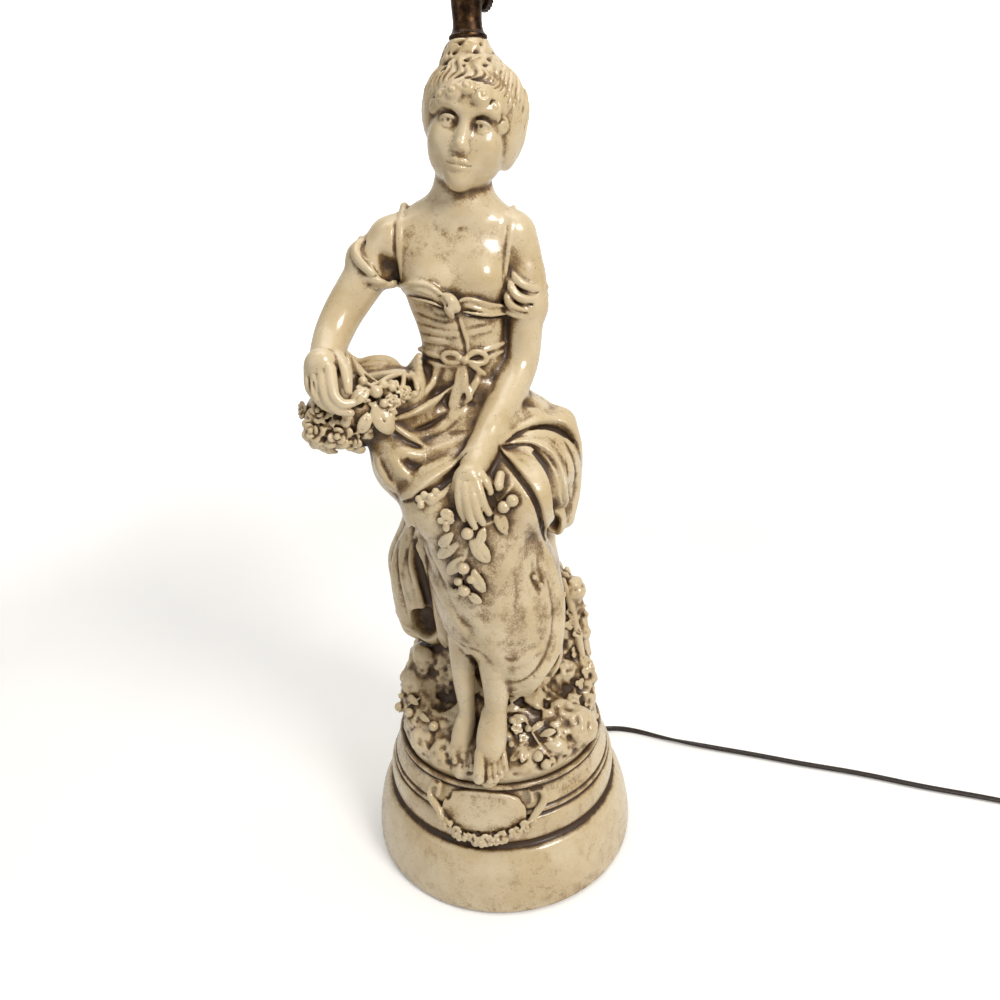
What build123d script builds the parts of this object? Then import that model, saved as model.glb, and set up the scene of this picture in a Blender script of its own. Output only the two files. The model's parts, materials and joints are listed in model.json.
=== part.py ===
from build123d import *

import os
from math import asin, cos, pi, radians, sin, tan

# Figural table lamp: a seated girl in glazed ware, a moulded round plinth, a bronze neck with a
# turn switch and a plain lampholder, all held together by one threaded pipe.
# Millimetres. +Z is up, -Y is the front, +X is the viewer's right. The origin is the middle of
# the underside.

os.makedirs("parts", exist_ok=True)


# ---------------------------------------------------------------- driving dimensions
# Plinth casting
plinth_r = 113.0
plinth_top_z = 104.0
plinth_top_r = 85.3
casting_wall = 8.0
plinth_deck = 9.0
plaque_turn = -10.0
plaque_half_angle = 25.0
plaque_proud = 3.0

# Figure casting, standing on the plinth
rock_r = 84.0
crown_z = 620.0
crown_seat_r = 13.0
pipe_passage_r = 6.2

# Felt disc that closes the foot
felt_thickness = 1.5
felt_inset = 2.0

# Threaded pipe and what clamps the castings on it
pipe_r = 5.15
pipe_wall = 1.25
thread_clearance = 0.05
clamp_washer_r = 22.0
clamp_washer_thickness = 2.0
clamp_nut_flats = 17.0
clamp_nut_thickness = 5.0
pipe_tail = 4.0

# Bronze neck
neck_rim_r = 12.3
neck_waist_r = 9.1
neck_top_r = 10.3
neck_height = 47.0
neck_wall = 1.6
neck_web = 8.0
neck_top_web = 4.0
seating_washer_thickness = 1.0

# Turn switch inside the neck
switch_height = 23.5
switch_turn = 45.0
switch_width = 11.0
switch_tall = 15.0
switch_bushing_r = 3.2
bushing_nut_flats = 8.0
bushing_nut_thickness = 1.5
switch_shaft_r = 1.5
shaft_clearance = 0.05
knob_r = 7.0
knob_thickness = 4.2
knob_gap = 0.3
knob_flutes = 18
knob_flute_r = 0.6

# Lampholder for a screw lamp with a 26.4 mm cap
nipple_length = 16.5
nipple_nut_flats = 14.0
nipple_nut_thickness = 3.0
cap_boss_r = 7.5
cap_boss_height = 5.0
cap_wall = 0.8
cap_floor = 3.0
cap_height = 24.0
screw_shell_bore_r = 13.3
screw_shell_wall = 0.4
screw_shell_height = 26.0
socket_body_foot_r = 11.5
socket_body_foot_height = 14.0
socket_body_flange = 12.0
sleeve_wall = 0.6
shell_wall = 0.5
shell_lip = 0.6
socket_gap = 0.1
socket_height = 57.0
contact_well_r = 9.0
contact_well_depth = 3.0
contact_r = 3.5
contact_height = 2.5
contact_taper = 20.0
terminal_head_r = 2.2
terminal_head_height = 1.8
terminal_screw_r = 1.4
lead_r = 0.9
lead_spacing = 3.6
cap_screw_r = 1.2
cap_screw_length = 4.6
cap_screw_head_r = 2.0
cap_screw_head_height = 1.2

# Mains cord
cord_d = 5.6
cord_exit_turn = 45.0
cord_exit_z = 8.5
bushing_flange_r = 6.5
bushing_flange_thickness = 1.5
bushing_stem_r = 4.6
bushing_flat_depth = 1.6
inner_cord_bend_r = 32.0
coil_turns_in = 2.9
coil_turns_climb = 0.5
coil_turns_out = 2.85
coil_gap = 0.6
coil_climb_dip = 0.3
coil_tail_turns = 0.35
coil_tail_flare = 16.0
coil_r = 43.0

# Plug
plug_width = 25.0
plug_length = 27.0
plug_nose = 11.0
blade_spacing = 12.7
blade_width = 6.35
blade_thickness = 1.5
blade_length = 17.0
blade_sunk = 5.0


# ---------------------------------------------------------------- places that follow from them
neck_z = crown_z + seating_washer_thickness
neck_bore_r = neck_waist_r - neck_wall + 0.8
pipe_bore_r = pipe_r - pipe_wall
pipe_top_z = neck_z + neck_web
deck_under_z = plinth_top_z - plinth_deck
clamp_nut_top_z = deck_under_z - clamp_washer_thickness
pipe_bottom_z = clamp_nut_top_z - clamp_nut_thickness - pipe_tail
switch_z = neck_z + switch_height
switch_top_z = switch_z + switch_tall / 2
neck_top_z = neck_z + neck_height
cap_floor_z = neck_top_z + cap_boss_height + cap_floor
sleeve_bottom_z = cap_floor_z + cap_floor
socket_foot_z = cap_floor_z
flange_z = socket_foot_z + socket_body_foot_height
flange_top_z = flange_z + socket_body_flange
contact_foot_z = flange_top_z - contact_well_depth
socket_top_z = socket_foot_z + socket_height
screw_shell_r = screw_shell_bore_r + screw_shell_wall
flange_r = screw_shell_r + 1.3
sleeve_bore_r = flange_r + socket_gap
sleeve_r = sleeve_bore_r + sleeve_wall
shell_bore_r = sleeve_r + socket_gap
shell_r = shell_bore_r + shell_wall
cap_bore_r = shell_r + socket_gap
cap_r = cap_bore_r + cap_wall
cord_r = cord_d / 2

switch_axis = Vector(cos(radians(switch_turn)), sin(radians(switch_turn)), 0)
switch_plane = Plane(origin=(0, 0, switch_z), x_dir=(0, 0, 1), z_dir=switch_axis)
exit_axis = Vector(cos(radians(cord_exit_turn)), sin(radians(cord_exit_turn)), 0)
exit_plane = Plane(origin=(0, 0, cord_exit_z), x_dir=(0, 0, 1), z_dir=exit_axis)


# ---------------------------------------------------------------- shapes used more than once
def oval_stack(sections, mode=Mode.ADD):
    """Loft through level ovals, each (z, x, y, half width, half depth), of four arcs."""
    ovals = []
    for z, x, y, half_x, half_y in sections:
        with BuildSketch(Plane.XY.offset(z)) as oval:
            with BuildLine():
                for quarter in range(4):
                    ends = [radians(90 * quarter + step) for step in (0, 45, 90)]
                    ThreePointArc(*[(x + half_x * cos(a), y + half_y * sin(a)) for a in ends])
            make_face()
        ovals.append(oval.sketch)
    loft(ovals, ruled=True, mode=mode)


def limb(start, end, start_r, end_r):
    """A round-ended tapered limb between two points, turned about the line that joins them."""
    along = Vector(*end) - Vector(*start)
    side = Vector(0, 1, 0) if abs(along.Y) < 0.7 * along.length else Vector(1, 0, 0)
    lean = asin((start_r - end_r) / along.length)
    tilts = [pi, (pi + (pi / 2 - lean)) / 2, pi / 2 - lean]
    near = [(start_r * cos(a), start_r * sin(a)) for a in tilts]
    far = [(along.length + end_r * cos(a), end_r * sin(a)) for a in (tilts[2], tilts[2] / 2, 0)]
    with BuildSketch(Plane(origin=start, x_dir=along, z_dir=along.cross(side))) as outline:
        with BuildLine():
            ThreePointArc(*near)
            Line(near[2], far[0])
            ThreePointArc(*far)
            Line(far[2], near[0])
        make_face()
    revolve(outline.sketch, axis=Axis(start, along))


def ring(plane, outer_r, bore_r, height, mode=Mode.ADD):
    """A flat ring or washer standing on a plane."""
    with BuildSketch(plane) as outline:
        Circle(outer_r)
        Circle(bore_r, mode=Mode.SUBTRACT)
    extrude(outline.sketch, amount=height, mode=mode)


def hex_nut(plane, flats, bore_r, thickness):
    """A six-sided nut standing on a plane."""
    with BuildSketch(plane) as outline:
        RegularPolygon(flats / 2, 6, major_radius=False)
        Circle(bore_r, mode=Mode.SUBTRACT)
    extrude(outline.sketch, amount=thickness)


def turned(profile):
    """Turn a closed (radius, z) outline about the upright axis."""
    with BuildSketch(Plane.XZ) as outline:
        with BuildLine():
            Polyline(*profile, close=True)
        make_face()
    revolve(outline.sketch, axis=Axis.Z)


def finish(sub_part, label):
    """Name a finished piece, write it and say what it holds."""
    sub_part.part.label = label
    export_step(sub_part.part, f"parts/{label}.step")
    print(f"{label:18s} volume {sub_part.part.volume:11.1f}  valid {sub_part.part.is_valid}")


# ---------------------------------------------------------------- plinth casting
drum_top_z = 0.52 * plinth_top_z
torus_top_z = 0.75 * plinth_top_z
plinth_foot_r = plinth_r - 1.0
with BuildPart() as plinth_casting:
    turned([
        (plinth_foot_r - casting_wall, felt_thickness),
        (plinth_foot_r, felt_thickness),
        (plinth_r, felt_thickness + 1.5),
        (plinth_r, 10),
        (plinth_r - 2.5, 0.29 * plinth_top_z),
        (plinth_r - 5.5, 0.40 * plinth_top_z),
        (plinth_r - 9.5, 0.48 * plinth_top_z),
        (plinth_r - 14.0, drum_top_z),
        (plinth_r - 17.5, drum_top_z + 2.5),
        (plinth_r - 16.0, drum_top_z + 6.5),
        (plinth_r - 15.5, 0.67 * plinth_top_z),
        (plinth_r - 17.0, torus_top_z),
        (plinth_r - 19.0, torus_top_z + 4),
        (plinth_r - 23.0, torus_top_z + 12),
        (plinth_top_r + 1.7, plinth_top_z - 3.5),
        (plinth_top_r + 1.9, plinth_top_z - 1),
        (plinth_top_r, plinth_top_z),
        (pipe_passage_r, plinth_top_z),
        (pipe_passage_r, deck_under_z),
        (plinth_top_r - casting_wall, deck_under_z),
        (plinth_r - 25.0, drum_top_z),
        (plinth_foot_r - casting_wall, 0.40 * plinth_top_z),
    ])
    # The bare name plaque stands proud of the moulding, turned a little to the viewer's left.
    plaque_side = Plane.XZ.rotated((0, 0, plaque_turn - plaque_half_angle - 90))
    with BuildSketch(plaque_side):
        with BuildLine():
            Polyline(
                (plinth_r - 30, 0.63 * plinth_top_z),
                (plinth_r - 15.5 + plaque_proud, 0.63 * plinth_top_z),
                (plinth_r - 19.0 + plaque_proud, 0.93 * plinth_top_z),
                (plinth_r - 30, 0.93 * plinth_top_z),
                close=True,
            )
        make_face()
    revolve(axis=Axis.Z, revolution_arc=2 * plaque_half_angle)
    # The wall is drilled and spot-faced at the back for the cord bushing.
    wall_out = plinth_r - bushing_flat_depth
    with BuildSketch(exit_plane.offset(wall_out)):
        Circle(bushing_flange_r + 0.3)
    extrude(amount=casting_wall, mode=Mode.SUBTRACT)
    with BuildSketch(exit_plane.offset(plinth_r - 2 * casting_wall)):
        Circle(bushing_stem_r + thread_clearance)
    extrude(amount=2 * casting_wall, mode=Mode.SUBTRACT)
finish(plinth_casting, "plinth_casting")


# ---------------------------------------------------------------- figure casting
def above_rock(*place):
    """A place on the lower figure, given as (x, y, height over the plinth)."""
    return place[0], place[1], plinth_top_z + place[2]


def below_crown(*place):
    """A place on the upper figure, given as (x, y, depth under the crown)."""
    return place[0], place[1], crown_z - place[2]


def rock_ovals(*rows):
    return [(plinth_top_z + height, *rest) for height, *rest in rows]


def body_ovals(*rows):
    return [(crown_z - depth, *rest) for depth, *rest in rows]


def drawn_in(sections):
    """The same ovals, smaller by the casting's wall."""
    wall = casting_wall
    return [(z, x, y, half_x - wall, half_y - wall) for z, x, y, half_x, half_y in sections]


rock_and_stump = rock_ovals(
    (0, 0, 0, rock_r, rock_r),
    (6, 0, 0, rock_r + 1.5, rock_r + 1.5),
    (26, 0, 8, 79, 70),
    (46, -4, 16, 72, 56),
    (70, 2, 20, 66, 48),
    (112, 6, 22, 51, 42),
    (200, 2, 18, 42, 34),
)
back_drape = rock_ovals(
    (85, -26, 14, 38, 26),
    (97, -19, 14, 60, 38),
    (126, -17, 13, 64, 41),
    (164, -15, 10, 62, 41),
    (196, -8, 6, 57, 42),
    (236, -6, -2, 60, 42),
)
skirt_front = rock_ovals(
    (75, 14, -62, 10, 14),
    (85, 17, -57, 20, 23),
    (104, 15, -50, 33, 34),
    (124, 6, -45, 47, 41),
    (154, 2, -42, 49, 45),
    (175, -1, -42, 46, 47),
    (196, -8, -42, 44, 49),
    (222, -8, -40, 48, 50),
    (242, -8, -36, 50, 50),
)
hips = rock_ovals(
    (214, -6, -16, 60, 58),
    (236, -6, -18, 71, 61),
    (252, -7, -14, 73, 56),
    (264, -8, -11, 72, 48),
    (284, -8, -5, 58, 34),
    (294, -12, -4, 42, 27),
)
bodice = body_ovals(
    (224, -12, -4, 42, 27),
    (202, -14, -7, 32, 21),
    (186, -14, -9, 29, 18.5),
    (162, -16, -8, 33, 20.5),
    (142, -15, -7, 39, 22),
    (120, -15, -3, 46, 20),
    (108, -15, -1, 43, 17),
    (98, -13, 0, 24, 16),
)
limbs = [
    # head, turned and tilted, with the gathered hair on top
    (below_crown(-4, -8, 52), below_crown(3, -4, 38), 30.5, 32.5),
    (below_crown(-6, -14, 56), below_crown(-9, -20, 68), 22, 12.5),
    (below_crown(2, 0, 24), below_crown(1, 0, 13), 23, 13),
    (below_crown(-8, -4, 66), below_crown(-10, -2, 102), 17.5, 21),
    # viewer's left arm, out over the gathered flowers
    (below_crown(-62, 0, 118), below_crown(-84, -3, 146), 16, 15),
    (below_crown(-84, -3, 146), below_crown(-106, -8, 179), 13.5, 13),
    (below_crown(-106, -8, 179), below_crown(-104, -48, 196), 13, 9.5),
    (below_crown(-104, -48, 196), below_crown(-101, -60, 208), 10.5, 10.5),
    # viewer's right arm, down across the lap
    (below_crown(27, 0, 118), below_crown(31, -3, 152), 15, 14.5),
    (below_crown(31, -3, 152), below_crown(25, -9, 205), 13, 12),
    (below_crown(25, -9, 205), below_crown(-12, -74, 255), 12, 8),
    (below_crown(-12, -74, 255), below_crown(-11, -86, 292), 9, 8),
    # gathered apron of flowers
    (above_rock(-52, -22, 296), above_rock(-84, -32, 295), 21, 25),
    (above_rock(-84, -32, 295), above_rock(-104, -40, 291), 25, 21.5),
    # hanging side panel on the viewer's right
    (above_rock(55, -16, 262), above_rock(54, -18, 194), 12, 11),
    # knees under the skirt
    (above_rock(-20, -20, 246), above_rock(-40, -62, 226), 30, 26),
    (above_rock(25, -20, 252), above_rock(26, -66, 240), 30, 25),
    # bare legs and feet
    (above_rock(-26, -56, 116), above_rock(-26, -55, 44), 10.5, 7),
    (above_rock(-27, -52, 20), above_rock(-32, -70, 12), 10, 8),
    (above_rock(-26, -55, 44), above_rock(-28, -56, 16), 8, 9),
    (above_rock(-2, -70, 100), above_rock(-4, -73, 48), 13, 8.5),
    (above_rock(-4, -73, 48), above_rock(-9, -77, 13), 9, 9.5),
    # stump bark and ivy on the viewer's right, and the rock's two shoulders
    (above_rock(42, 16, 108), above_rock(60, 14, 62), 15, 16),
    (above_rock(60, 14, 62), above_rock(66, 2, 20), 16, 17),
    (above_rock(-56, 4, 50), above_rock(-62, -4, 20), 17, 19),
]
with BuildPart() as figure_casting:
    oval_stack(rock_and_stump)
    for sections in (back_drape, skirt_front, hips, bodice):
        oval_stack(sections)
    for start, end, start_r, end_r in limbs:
        limb(start, end, start_r, end_r)
    # Flat seat for the neck on top of the hair.
    with BuildSketch(Plane.XY.offset(crown_z - 12)):
        Circle(crown_seat_r)
    extrude(amount=12)
    # The casting is hollow from below and bored for the pipe.
    with BuildSketch(Plane.XY.offset(crown_z)):
        Rectangle(4 * rock_r, 4 * rock_r)
    extrude(amount=4 * casting_wall, mode=Mode.SUBTRACT)
    hollow_stretches = (
        rock_and_stump[:-1],
        back_drape[1:],
        skirt_front[1:-1],
        hips[1:],
        bodice[:-1],
    )
    for sections in hollow_stretches:
        oval_stack(drawn_in(sections), Mode.SUBTRACT)
    with BuildSketch(Plane.XY.offset(plinth_top_z)):
        Circle(pipe_passage_r)
    extrude(amount=crown_z - plinth_top_z, mode=Mode.SUBTRACT)
finish(figure_casting, "figure_casting")


# ---------------------------------------------------------------- foot, pipe and clamp
with BuildPart() as felt_pad:
    with BuildSketch(Plane.XY):
        Circle(plinth_foot_r - felt_inset)
    extrude(amount=felt_thickness)
finish(felt_pad, "felt_pad")

with BuildPart() as threaded_pipe:
    ring(Plane.XY.offset(pipe_bottom_z), pipe_r, pipe_bore_r, pipe_top_z - pipe_bottom_z)
finish(threaded_pipe, "threaded_pipe")

with BuildPart() as clamp_washer:
    ring(
        Plane.XY.offset(clamp_nut_top_z),
        clamp_washer_r,
        pipe_r + thread_clearance,
        clamp_washer_thickness,
    )
finish(clamp_washer, "clamp_washer")

with BuildPart() as clamp_nut:
    hex_nut(
        Plane.XY.offset(clamp_nut_top_z - clamp_nut_thickness),
        clamp_nut_flats,
        pipe_r + thread_clearance,
        clamp_nut_thickness,
    )
finish(clamp_nut, "clamp_nut")


# ---------------------------------------------------------------- neck
with BuildPart() as seating_washer:
    ring(
        Plane.XY.offset(crown_z),
        neck_rim_r - 0.8,
        pipe_r + thread_clearance,
        seating_washer_thickness,
    )
finish(seating_washer, "seating_washer")

boss_r = switch_bushing_r + 2.2
boss_face = neck_top_r + 0.7
with BuildPart() as neck_collar:
    turned([
        (pipe_r + thread_clearance, neck_z),
        (neck_rim_r - 0.3, neck_z),
        (neck_rim_r, neck_z + 0.6),
        (neck_rim_r - 0.2, neck_z + 1.6),
        (neck_rim_r - 1.3, neck_z + 2.6),
        (neck_waist_r + 0.9, neck_z + 4),
        (neck_waist_r + 0.2, neck_z + 6.5),
        (neck_waist_r, neck_z + 10),
        (neck_top_r - 0.4, neck_z + 0.5 * neck_height),
        (neck_top_r, neck_top_z),
        (pipe_r + thread_clearance, neck_top_z),
        (pipe_r + thread_clearance, neck_top_z - neck_top_web),
        (neck_bore_r, neck_top_z - neck_top_web),
        (neck_bore_r, pipe_top_z + 2),
        (pipe_r + thread_clearance, pipe_top_z),
    ])
    with BuildSketch(switch_plane.offset(neck_bore_r - 0.2)):
        Circle(boss_r)
    extrude(amount=boss_face - neck_bore_r + 0.2)
    with BuildSketch(Plane.XY.offset(pipe_top_z + 2)):
        Circle(neck_bore_r)
    extrude(amount=neck_top_z - neck_top_web - pipe_top_z - 2, mode=Mode.SUBTRACT)
    with BuildSketch(switch_plane):
        Circle(switch_bushing_r + thread_clearance)
    extrude(amount=2 * boss_face, mode=Mode.SUBTRACT)
finish(neck_collar, "neck_collar")


# ---------------------------------------------------------------- turn switch
switch_face = (neck_bore_r**2 - (switch_width / 2) ** 2) ** 0.5 - 0.1
nut_face = boss_face + bushing_nut_thickness
bushing_end = nut_face + 0.5
knob_face = bushing_end + knob_gap
shaft_start = 0.5 * switch_face
with BuildPart() as switch_body:
    with BuildSketch(switch_plane.offset(-switch_width / 2)):
        Rectangle(switch_tall, switch_width)
    extrude(amount=switch_face + switch_width / 2)
    with BuildSketch(switch_plane.offset(shaft_start)):
        Circle(switch_shaft_r + shaft_clearance)
    extrude(amount=switch_face, mode=Mode.SUBTRACT)
finish(switch_body, "switch_body")

with BuildPart() as switch_bushing:
    ring(
        switch_plane.offset(switch_face),
        switch_bushing_r,
        switch_shaft_r + shaft_clearance,
        bushing_end - switch_face,
    )
finish(switch_bushing, "switch_bushing")

with BuildPart() as bushing_nut:
    hex_nut(
        switch_plane.offset(boss_face),
        bushing_nut_flats,
        switch_bushing_r + thread_clearance,
        bushing_nut_thickness,
    )
finish(bushing_nut, "bushing_nut")

shaft_end = knob_face + 0.6 * knob_thickness
with BuildPart() as switch_shaft:
    with BuildSketch(switch_plane.offset(shaft_start)):
        Circle(switch_shaft_r)
    extrude(amount=shaft_end - shaft_start)
finish(switch_shaft, "switch_shaft")

with BuildPart() as turn_knob:
    with BuildSketch(switch_plane.offset(knob_face)):
        Circle(knob_r)
        with PolarLocations(knob_r, knob_flutes):
            Circle(knob_flute_r, mode=Mode.SUBTRACT)
    extrude(amount=knob_thickness)
    with BuildSketch(switch_plane.offset(knob_face + knob_thickness)):
        Circle(0.55 * knob_r)
    extrude(amount=-0.2 * knob_thickness, mode=Mode.SUBTRACT)
    with BuildSketch(switch_plane.offset(knob_face)):
        Circle(switch_shaft_r)
    extrude(amount=shaft_end - knob_face, mode=Mode.SUBTRACT)
finish(turn_knob, "turn_knob")


# ---------------------------------------------------------------- nipple and leads
nipple_top_z = cap_floor_z - 0.6
nipple_bottom_z = nipple_top_z - nipple_length
with BuildPart() as nipple:
    ring(Plane.XY.offset(nipple_bottom_z), pipe_r, pipe_bore_r, nipple_length)
finish(nipple, "nipple")

with BuildPart() as nipple_nut:
    hex_nut(
        Plane.XY.offset(neck_top_z - neck_top_web - nipple_nut_thickness),
        nipple_nut_flats,
        pipe_r + thread_clearance,
        nipple_nut_thickness,
    )
finish(nipple_nut, "nipple_nut")

with BuildPart() as switch_leads:
    with BuildSketch(Plane.XY.offset(switch_top_z)):
        with GridLocations(lead_spacing, 0, 2, 1):
            Circle(lead_r)
    extrude(amount=socket_foot_z - switch_top_z)
finish(switch_leads, "switch_leads")


# ---------------------------------------------------------------- lampholder
cap_screw_z = neck_top_z + cap_boss_height / 2
with BuildPart() as socket_cap:
    turned([
        (pipe_r + thread_clearance, neck_top_z),
        (cap_boss_r, neck_top_z),
        (cap_boss_r, neck_top_z + cap_boss_height),
        (0.6 * cap_r, cap_floor_z - cap_floor + 0.6),
        (0.9 * cap_r, cap_floor_z - 0.3 * cap_floor),
        (cap_r, cap_floor_z + 0.8 * cap_floor),
        (cap_r, neck_top_z + cap_height),
        (cap_bore_r, neck_top_z + cap_height),
        (cap_bore_r, sleeve_bottom_z),
        (0.8 * cap_r, cap_floor_z),
        (pipe_r + thread_clearance, cap_floor_z),
    ])
    with BuildSketch(Plane.YZ.offset(pipe_r)):
        with Locations((0, cap_screw_z)):
            Circle(cap_screw_r + thread_clearance)
    extrude(amount=2 * cap_boss_r, mode=Mode.SUBTRACT)
finish(socket_cap, "socket_cap")

with BuildPart() as cap_screw:
    with BuildSketch(Plane.YZ.offset(pipe_r + thread_clearance)):
        with Locations((0, cap_screw_z)):
            Circle(cap_screw_r)
    extrude(amount=cap_screw_length)
    with BuildSketch(Plane.YZ.offset(pipe_r + thread_clearance + cap_screw_length)):
        with Locations((0, cap_screw_z)):
            Circle(cap_screw_head_r)
            Rectangle(0.5, 2 * cap_screw_head_r, mode=Mode.SUBTRACT)
    extrude(amount=-cap_screw_head_height)
finish(cap_screw, "cap_screw")

terminal_z = socket_foot_z + socket_body_foot_height / 2
with BuildPart() as socket_body:
    turned([
        (0, socket_foot_z),
        (socket_body_foot_r, socket_foot_z),
        (socket_body_foot_r, flange_z),
        (flange_r, flange_z),
        (flange_r, flange_top_z),
        (contact_well_r, flange_top_z),
        (contact_well_r, contact_foot_z),
        (0, contact_foot_z),
    ])
    with BuildSketch(Plane.XZ.offset(-2 * socket_body_foot_r)):
        with Locations((0, terminal_z)):
            Circle(terminal_screw_r)
    extrude(amount=4 * socket_body_foot_r, mode=Mode.SUBTRACT)
finish(socket_body, "socket_body")

with BuildPart() as terminal_screws:
    for side in (-1, 1):
        with BuildSketch(Plane.XZ.offset(side * 0.3 * socket_body_foot_r)):
            with Locations((0, terminal_z)):
                Circle(terminal_screw_r)
        extrude(amount=side * 0.7 * socket_body_foot_r)
        with BuildSketch(Plane.XZ.offset(side * socket_body_foot_r)):
            with Locations((0, terminal_z)):
                Circle(terminal_head_r)
                Rectangle(2 * terminal_head_r, 0.6, mode=Mode.SUBTRACT)
        extrude(amount=side * terminal_head_height)
finish(terminal_screws, "terminal_screws")

with BuildPart() as centre_contact:
    with BuildSketch(Plane.XY.offset(contact_foot_z)):
        Circle(contact_r)
    extrude(amount=contact_height, taper=contact_taper)
finish(centre_contact, "centre_contact")

with BuildPart() as screw_shell:
    ring(
        Plane.XY.offset(flange_top_z),
        screw_shell_r,
        screw_shell_bore_r,
        screw_shell_height,
    )
finish(screw_shell, "screw_shell")

with BuildPart() as insulating_sleeve:
    ring(
        Plane.XY.offset(sleeve_bottom_z),
        sleeve_r,
        sleeve_bore_r,
        socket_top_z - 2 - sleeve_bottom_z,
    )
finish(insulating_sleeve, "insulating_sleeve")

with BuildPart() as socket_shell:
    turned([
        (shell_bore_r, sleeve_bottom_z),
        (shell_r, sleeve_bottom_z),
        (shell_r, socket_top_z - 3),
        (shell_r + shell_lip, socket_top_z - 2.2),
        (shell_r + shell_lip, socket_top_z - 0.6),
        (shell_r, socket_top_z),
        (shell_bore_r, socket_top_z),
    ])
finish(socket_shell, "socket_shell")


# ---------------------------------------------------------------- cord bushing and inner cord
with BuildPart() as cord_bushing:
    ring(
        exit_plane.offset(wall_out),
        bushing_flange_r,
        cord_r,
        bushing_flange_thickness,
    )
    ring(
        exit_plane.offset(wall_out - casting_wall - 2),
        bushing_stem_r,
        cord_r,
        casting_wall + 2,
    )
finish(cord_bushing, "cord_bushing")

cord_start = exit_axis * (wall_out + bushing_flange_thickness) + Vector(0, 0, cord_exit_z)
with BuildPart() as inner_cord:
    with BuildLine() as inner_path:
        FilletPolyline(
            cord_start,
            (0, 0, cord_exit_z),
            (0, 0, switch_z - switch_tall / 2),
            radius=inner_cord_bend_r,
        )
    with BuildSketch(Plane(origin=cord_start, z_dir=-exit_axis)):
        Circle(cord_r)
    sweep(path=inner_path.line)
finish(inner_cord, "inner_cord")


# ---------------------------------------------------------------- free cord
# Out of the bushing, down to the table, round to the viewer's right and away to the coil.
free_route = [
    tuple(cord_start),
    tuple(cord_start + exit_axis * 12),
    (99.5, 97.5, 5.6),
    (112.0, 101.5, cord_r + 0.4),
    (127.0, 101.0, cord_r),
    (145.0, 94.5, cord_r),
    (164.0, 84.5, cord_r),
    (184.0, 76.0, cord_r),
    (213.0, 64.5, cord_r),
    (250.0, 51.5, cord_r),
    (294.0, 34.0, cord_r),
    (342.0, 18.0, cord_r),
    (391.0, -4.0, cord_r),
    (438.0, -20.5, cord_r),
    (482.0, -39.0, cord_r),
    (508.0, -45.5, cord_r),
]


def corner_radii(points):
    """The radius of each bend: 0.45 of the shorter run over the tangent of half the turn."""
    places = [Vector(*point) for point in points]
    radii = [0.0]
    for before, here, after in zip(places, places[1:], places[2:]):
        turn = (here - before).get_angle(after - here)
        shorter = min((here - before).length, (after - here).length)
        radii.append(0.45 * shorter / tan(radians(turn / 2)))
    return radii + [0.0]


free_radii = corner_radii(free_route)
free_heading = (Vector(*free_route[1]) - Vector(*free_route[0])).normalized()
with BuildPart() as free_cord:
    with BuildLine() as free_path:
        FilletPolyline(*free_route, radius=free_radii[1:-1])
    with BuildSketch(Plane(origin=free_route[0], z_dir=free_heading)):
        Circle(cord_r)
    sweep(path=free_path.line)
finish(free_cord, "free_cord")
free_length = free_path.wire().length
print("free cord bends", [round(radius) for radius in free_radii[1:-1]])
print("free cord length", round(free_length), "volume over section x length",
      round(free_cord.part.volume / (pi * cord_r**2 * free_length), 4))


# ---------------------------------------------------------------- coil
# The unseen length, wound clockwise in two layers: in on the table, up, and out again on top.
coil_pitch = cord_d + coil_gap
coil_turns = coil_turns_in + coil_turns_climb + coil_turns_out
coil_heading = (Vector(*free_route[-1]) - Vector(*free_route[-2])).normalized()
coil_side = Vector(coil_heading.Y, -coil_heading.X, 0)
coil_first = Vector(*free_route[-1]) + coil_heading * cord_d
coil_centre = coil_first + coil_side * coil_r


def coil_place(turn):
    """The middle of the cord after so many turns, counted from the outside of the lower layer."""
    lower = min(turn, coil_turns_in)
    upper = max(turn - coil_turns_in - coil_turns_climb, 0)
    climb = min(max((turn - coil_turns_in) / coil_turns_climb, 0), 1)
    r = coil_r - coil_pitch * (lower - upper + coil_climb_dip * sin(pi * climb) ** 2)
    tail = max(turn - coil_turns + coil_tail_turns, 0) / coil_tail_turns
    r += coil_tail_flare * tail**2
    lift = coil_pitch * climb**2 * (3 - 2 * climb)
    out = coil_side * -cos(2 * pi * turn) + coil_heading * sin(2 * pi * turn)
    return coil_centre + out * r + Vector(0, 0, lift)


def coil_tangent(turn, step=1e-4):
    """The way the cord runs there. It starts in line with the free cord."""
    if turn == 0:
        return coil_heading
    return (coil_place(turn + step) - coil_place(turn - step)).normalized()


def two_arcs(start, start_way, end, end_way):
    """Two arcs that join two points smoothly, each leaving along the way given."""
    across = end - start
    ways = start_way + end_way
    spread = 2 * (1 - start_way.dot(end_way))
    reach = (-across.dot(ways) + (across.dot(ways) ** 2 + spread * across.dot(across)) ** 0.5)
    reach /= spread
    near, far = start + start_way * reach, end - end_way * reach
    TangentArc(start, (near + far) * 0.5, tangent=start_way)
    TangentArc((near + far) * 0.5, end, tangent=far - near)


coil_steps = round(4 * coil_turns)
stops = [coil_turns * step / coil_steps for step in range(coil_steps + 1)]
with BuildPart() as cord_coil:
    with BuildLine() as coil_path:
        Line(free_route[-1], coil_first)
        for here, there in zip(stops, stops[1:]):
            two_arcs(coil_place(here), coil_tangent(here), coil_place(there), coil_tangent(there))
        coil_last = coil_place(coil_turns)
        last_way = coil_tangent(coil_turns)
        plug_back = coil_last + last_way * cord_d
        Line(coil_last, plug_back)
    with BuildSketch(Plane(origin=free_route[-1], z_dir=coil_heading)):
        Circle(cord_r)
    sweep(path=coil_path.line)
finish(cord_coil, "cord_coil")
coil_length = coil_path.wire().length


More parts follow.
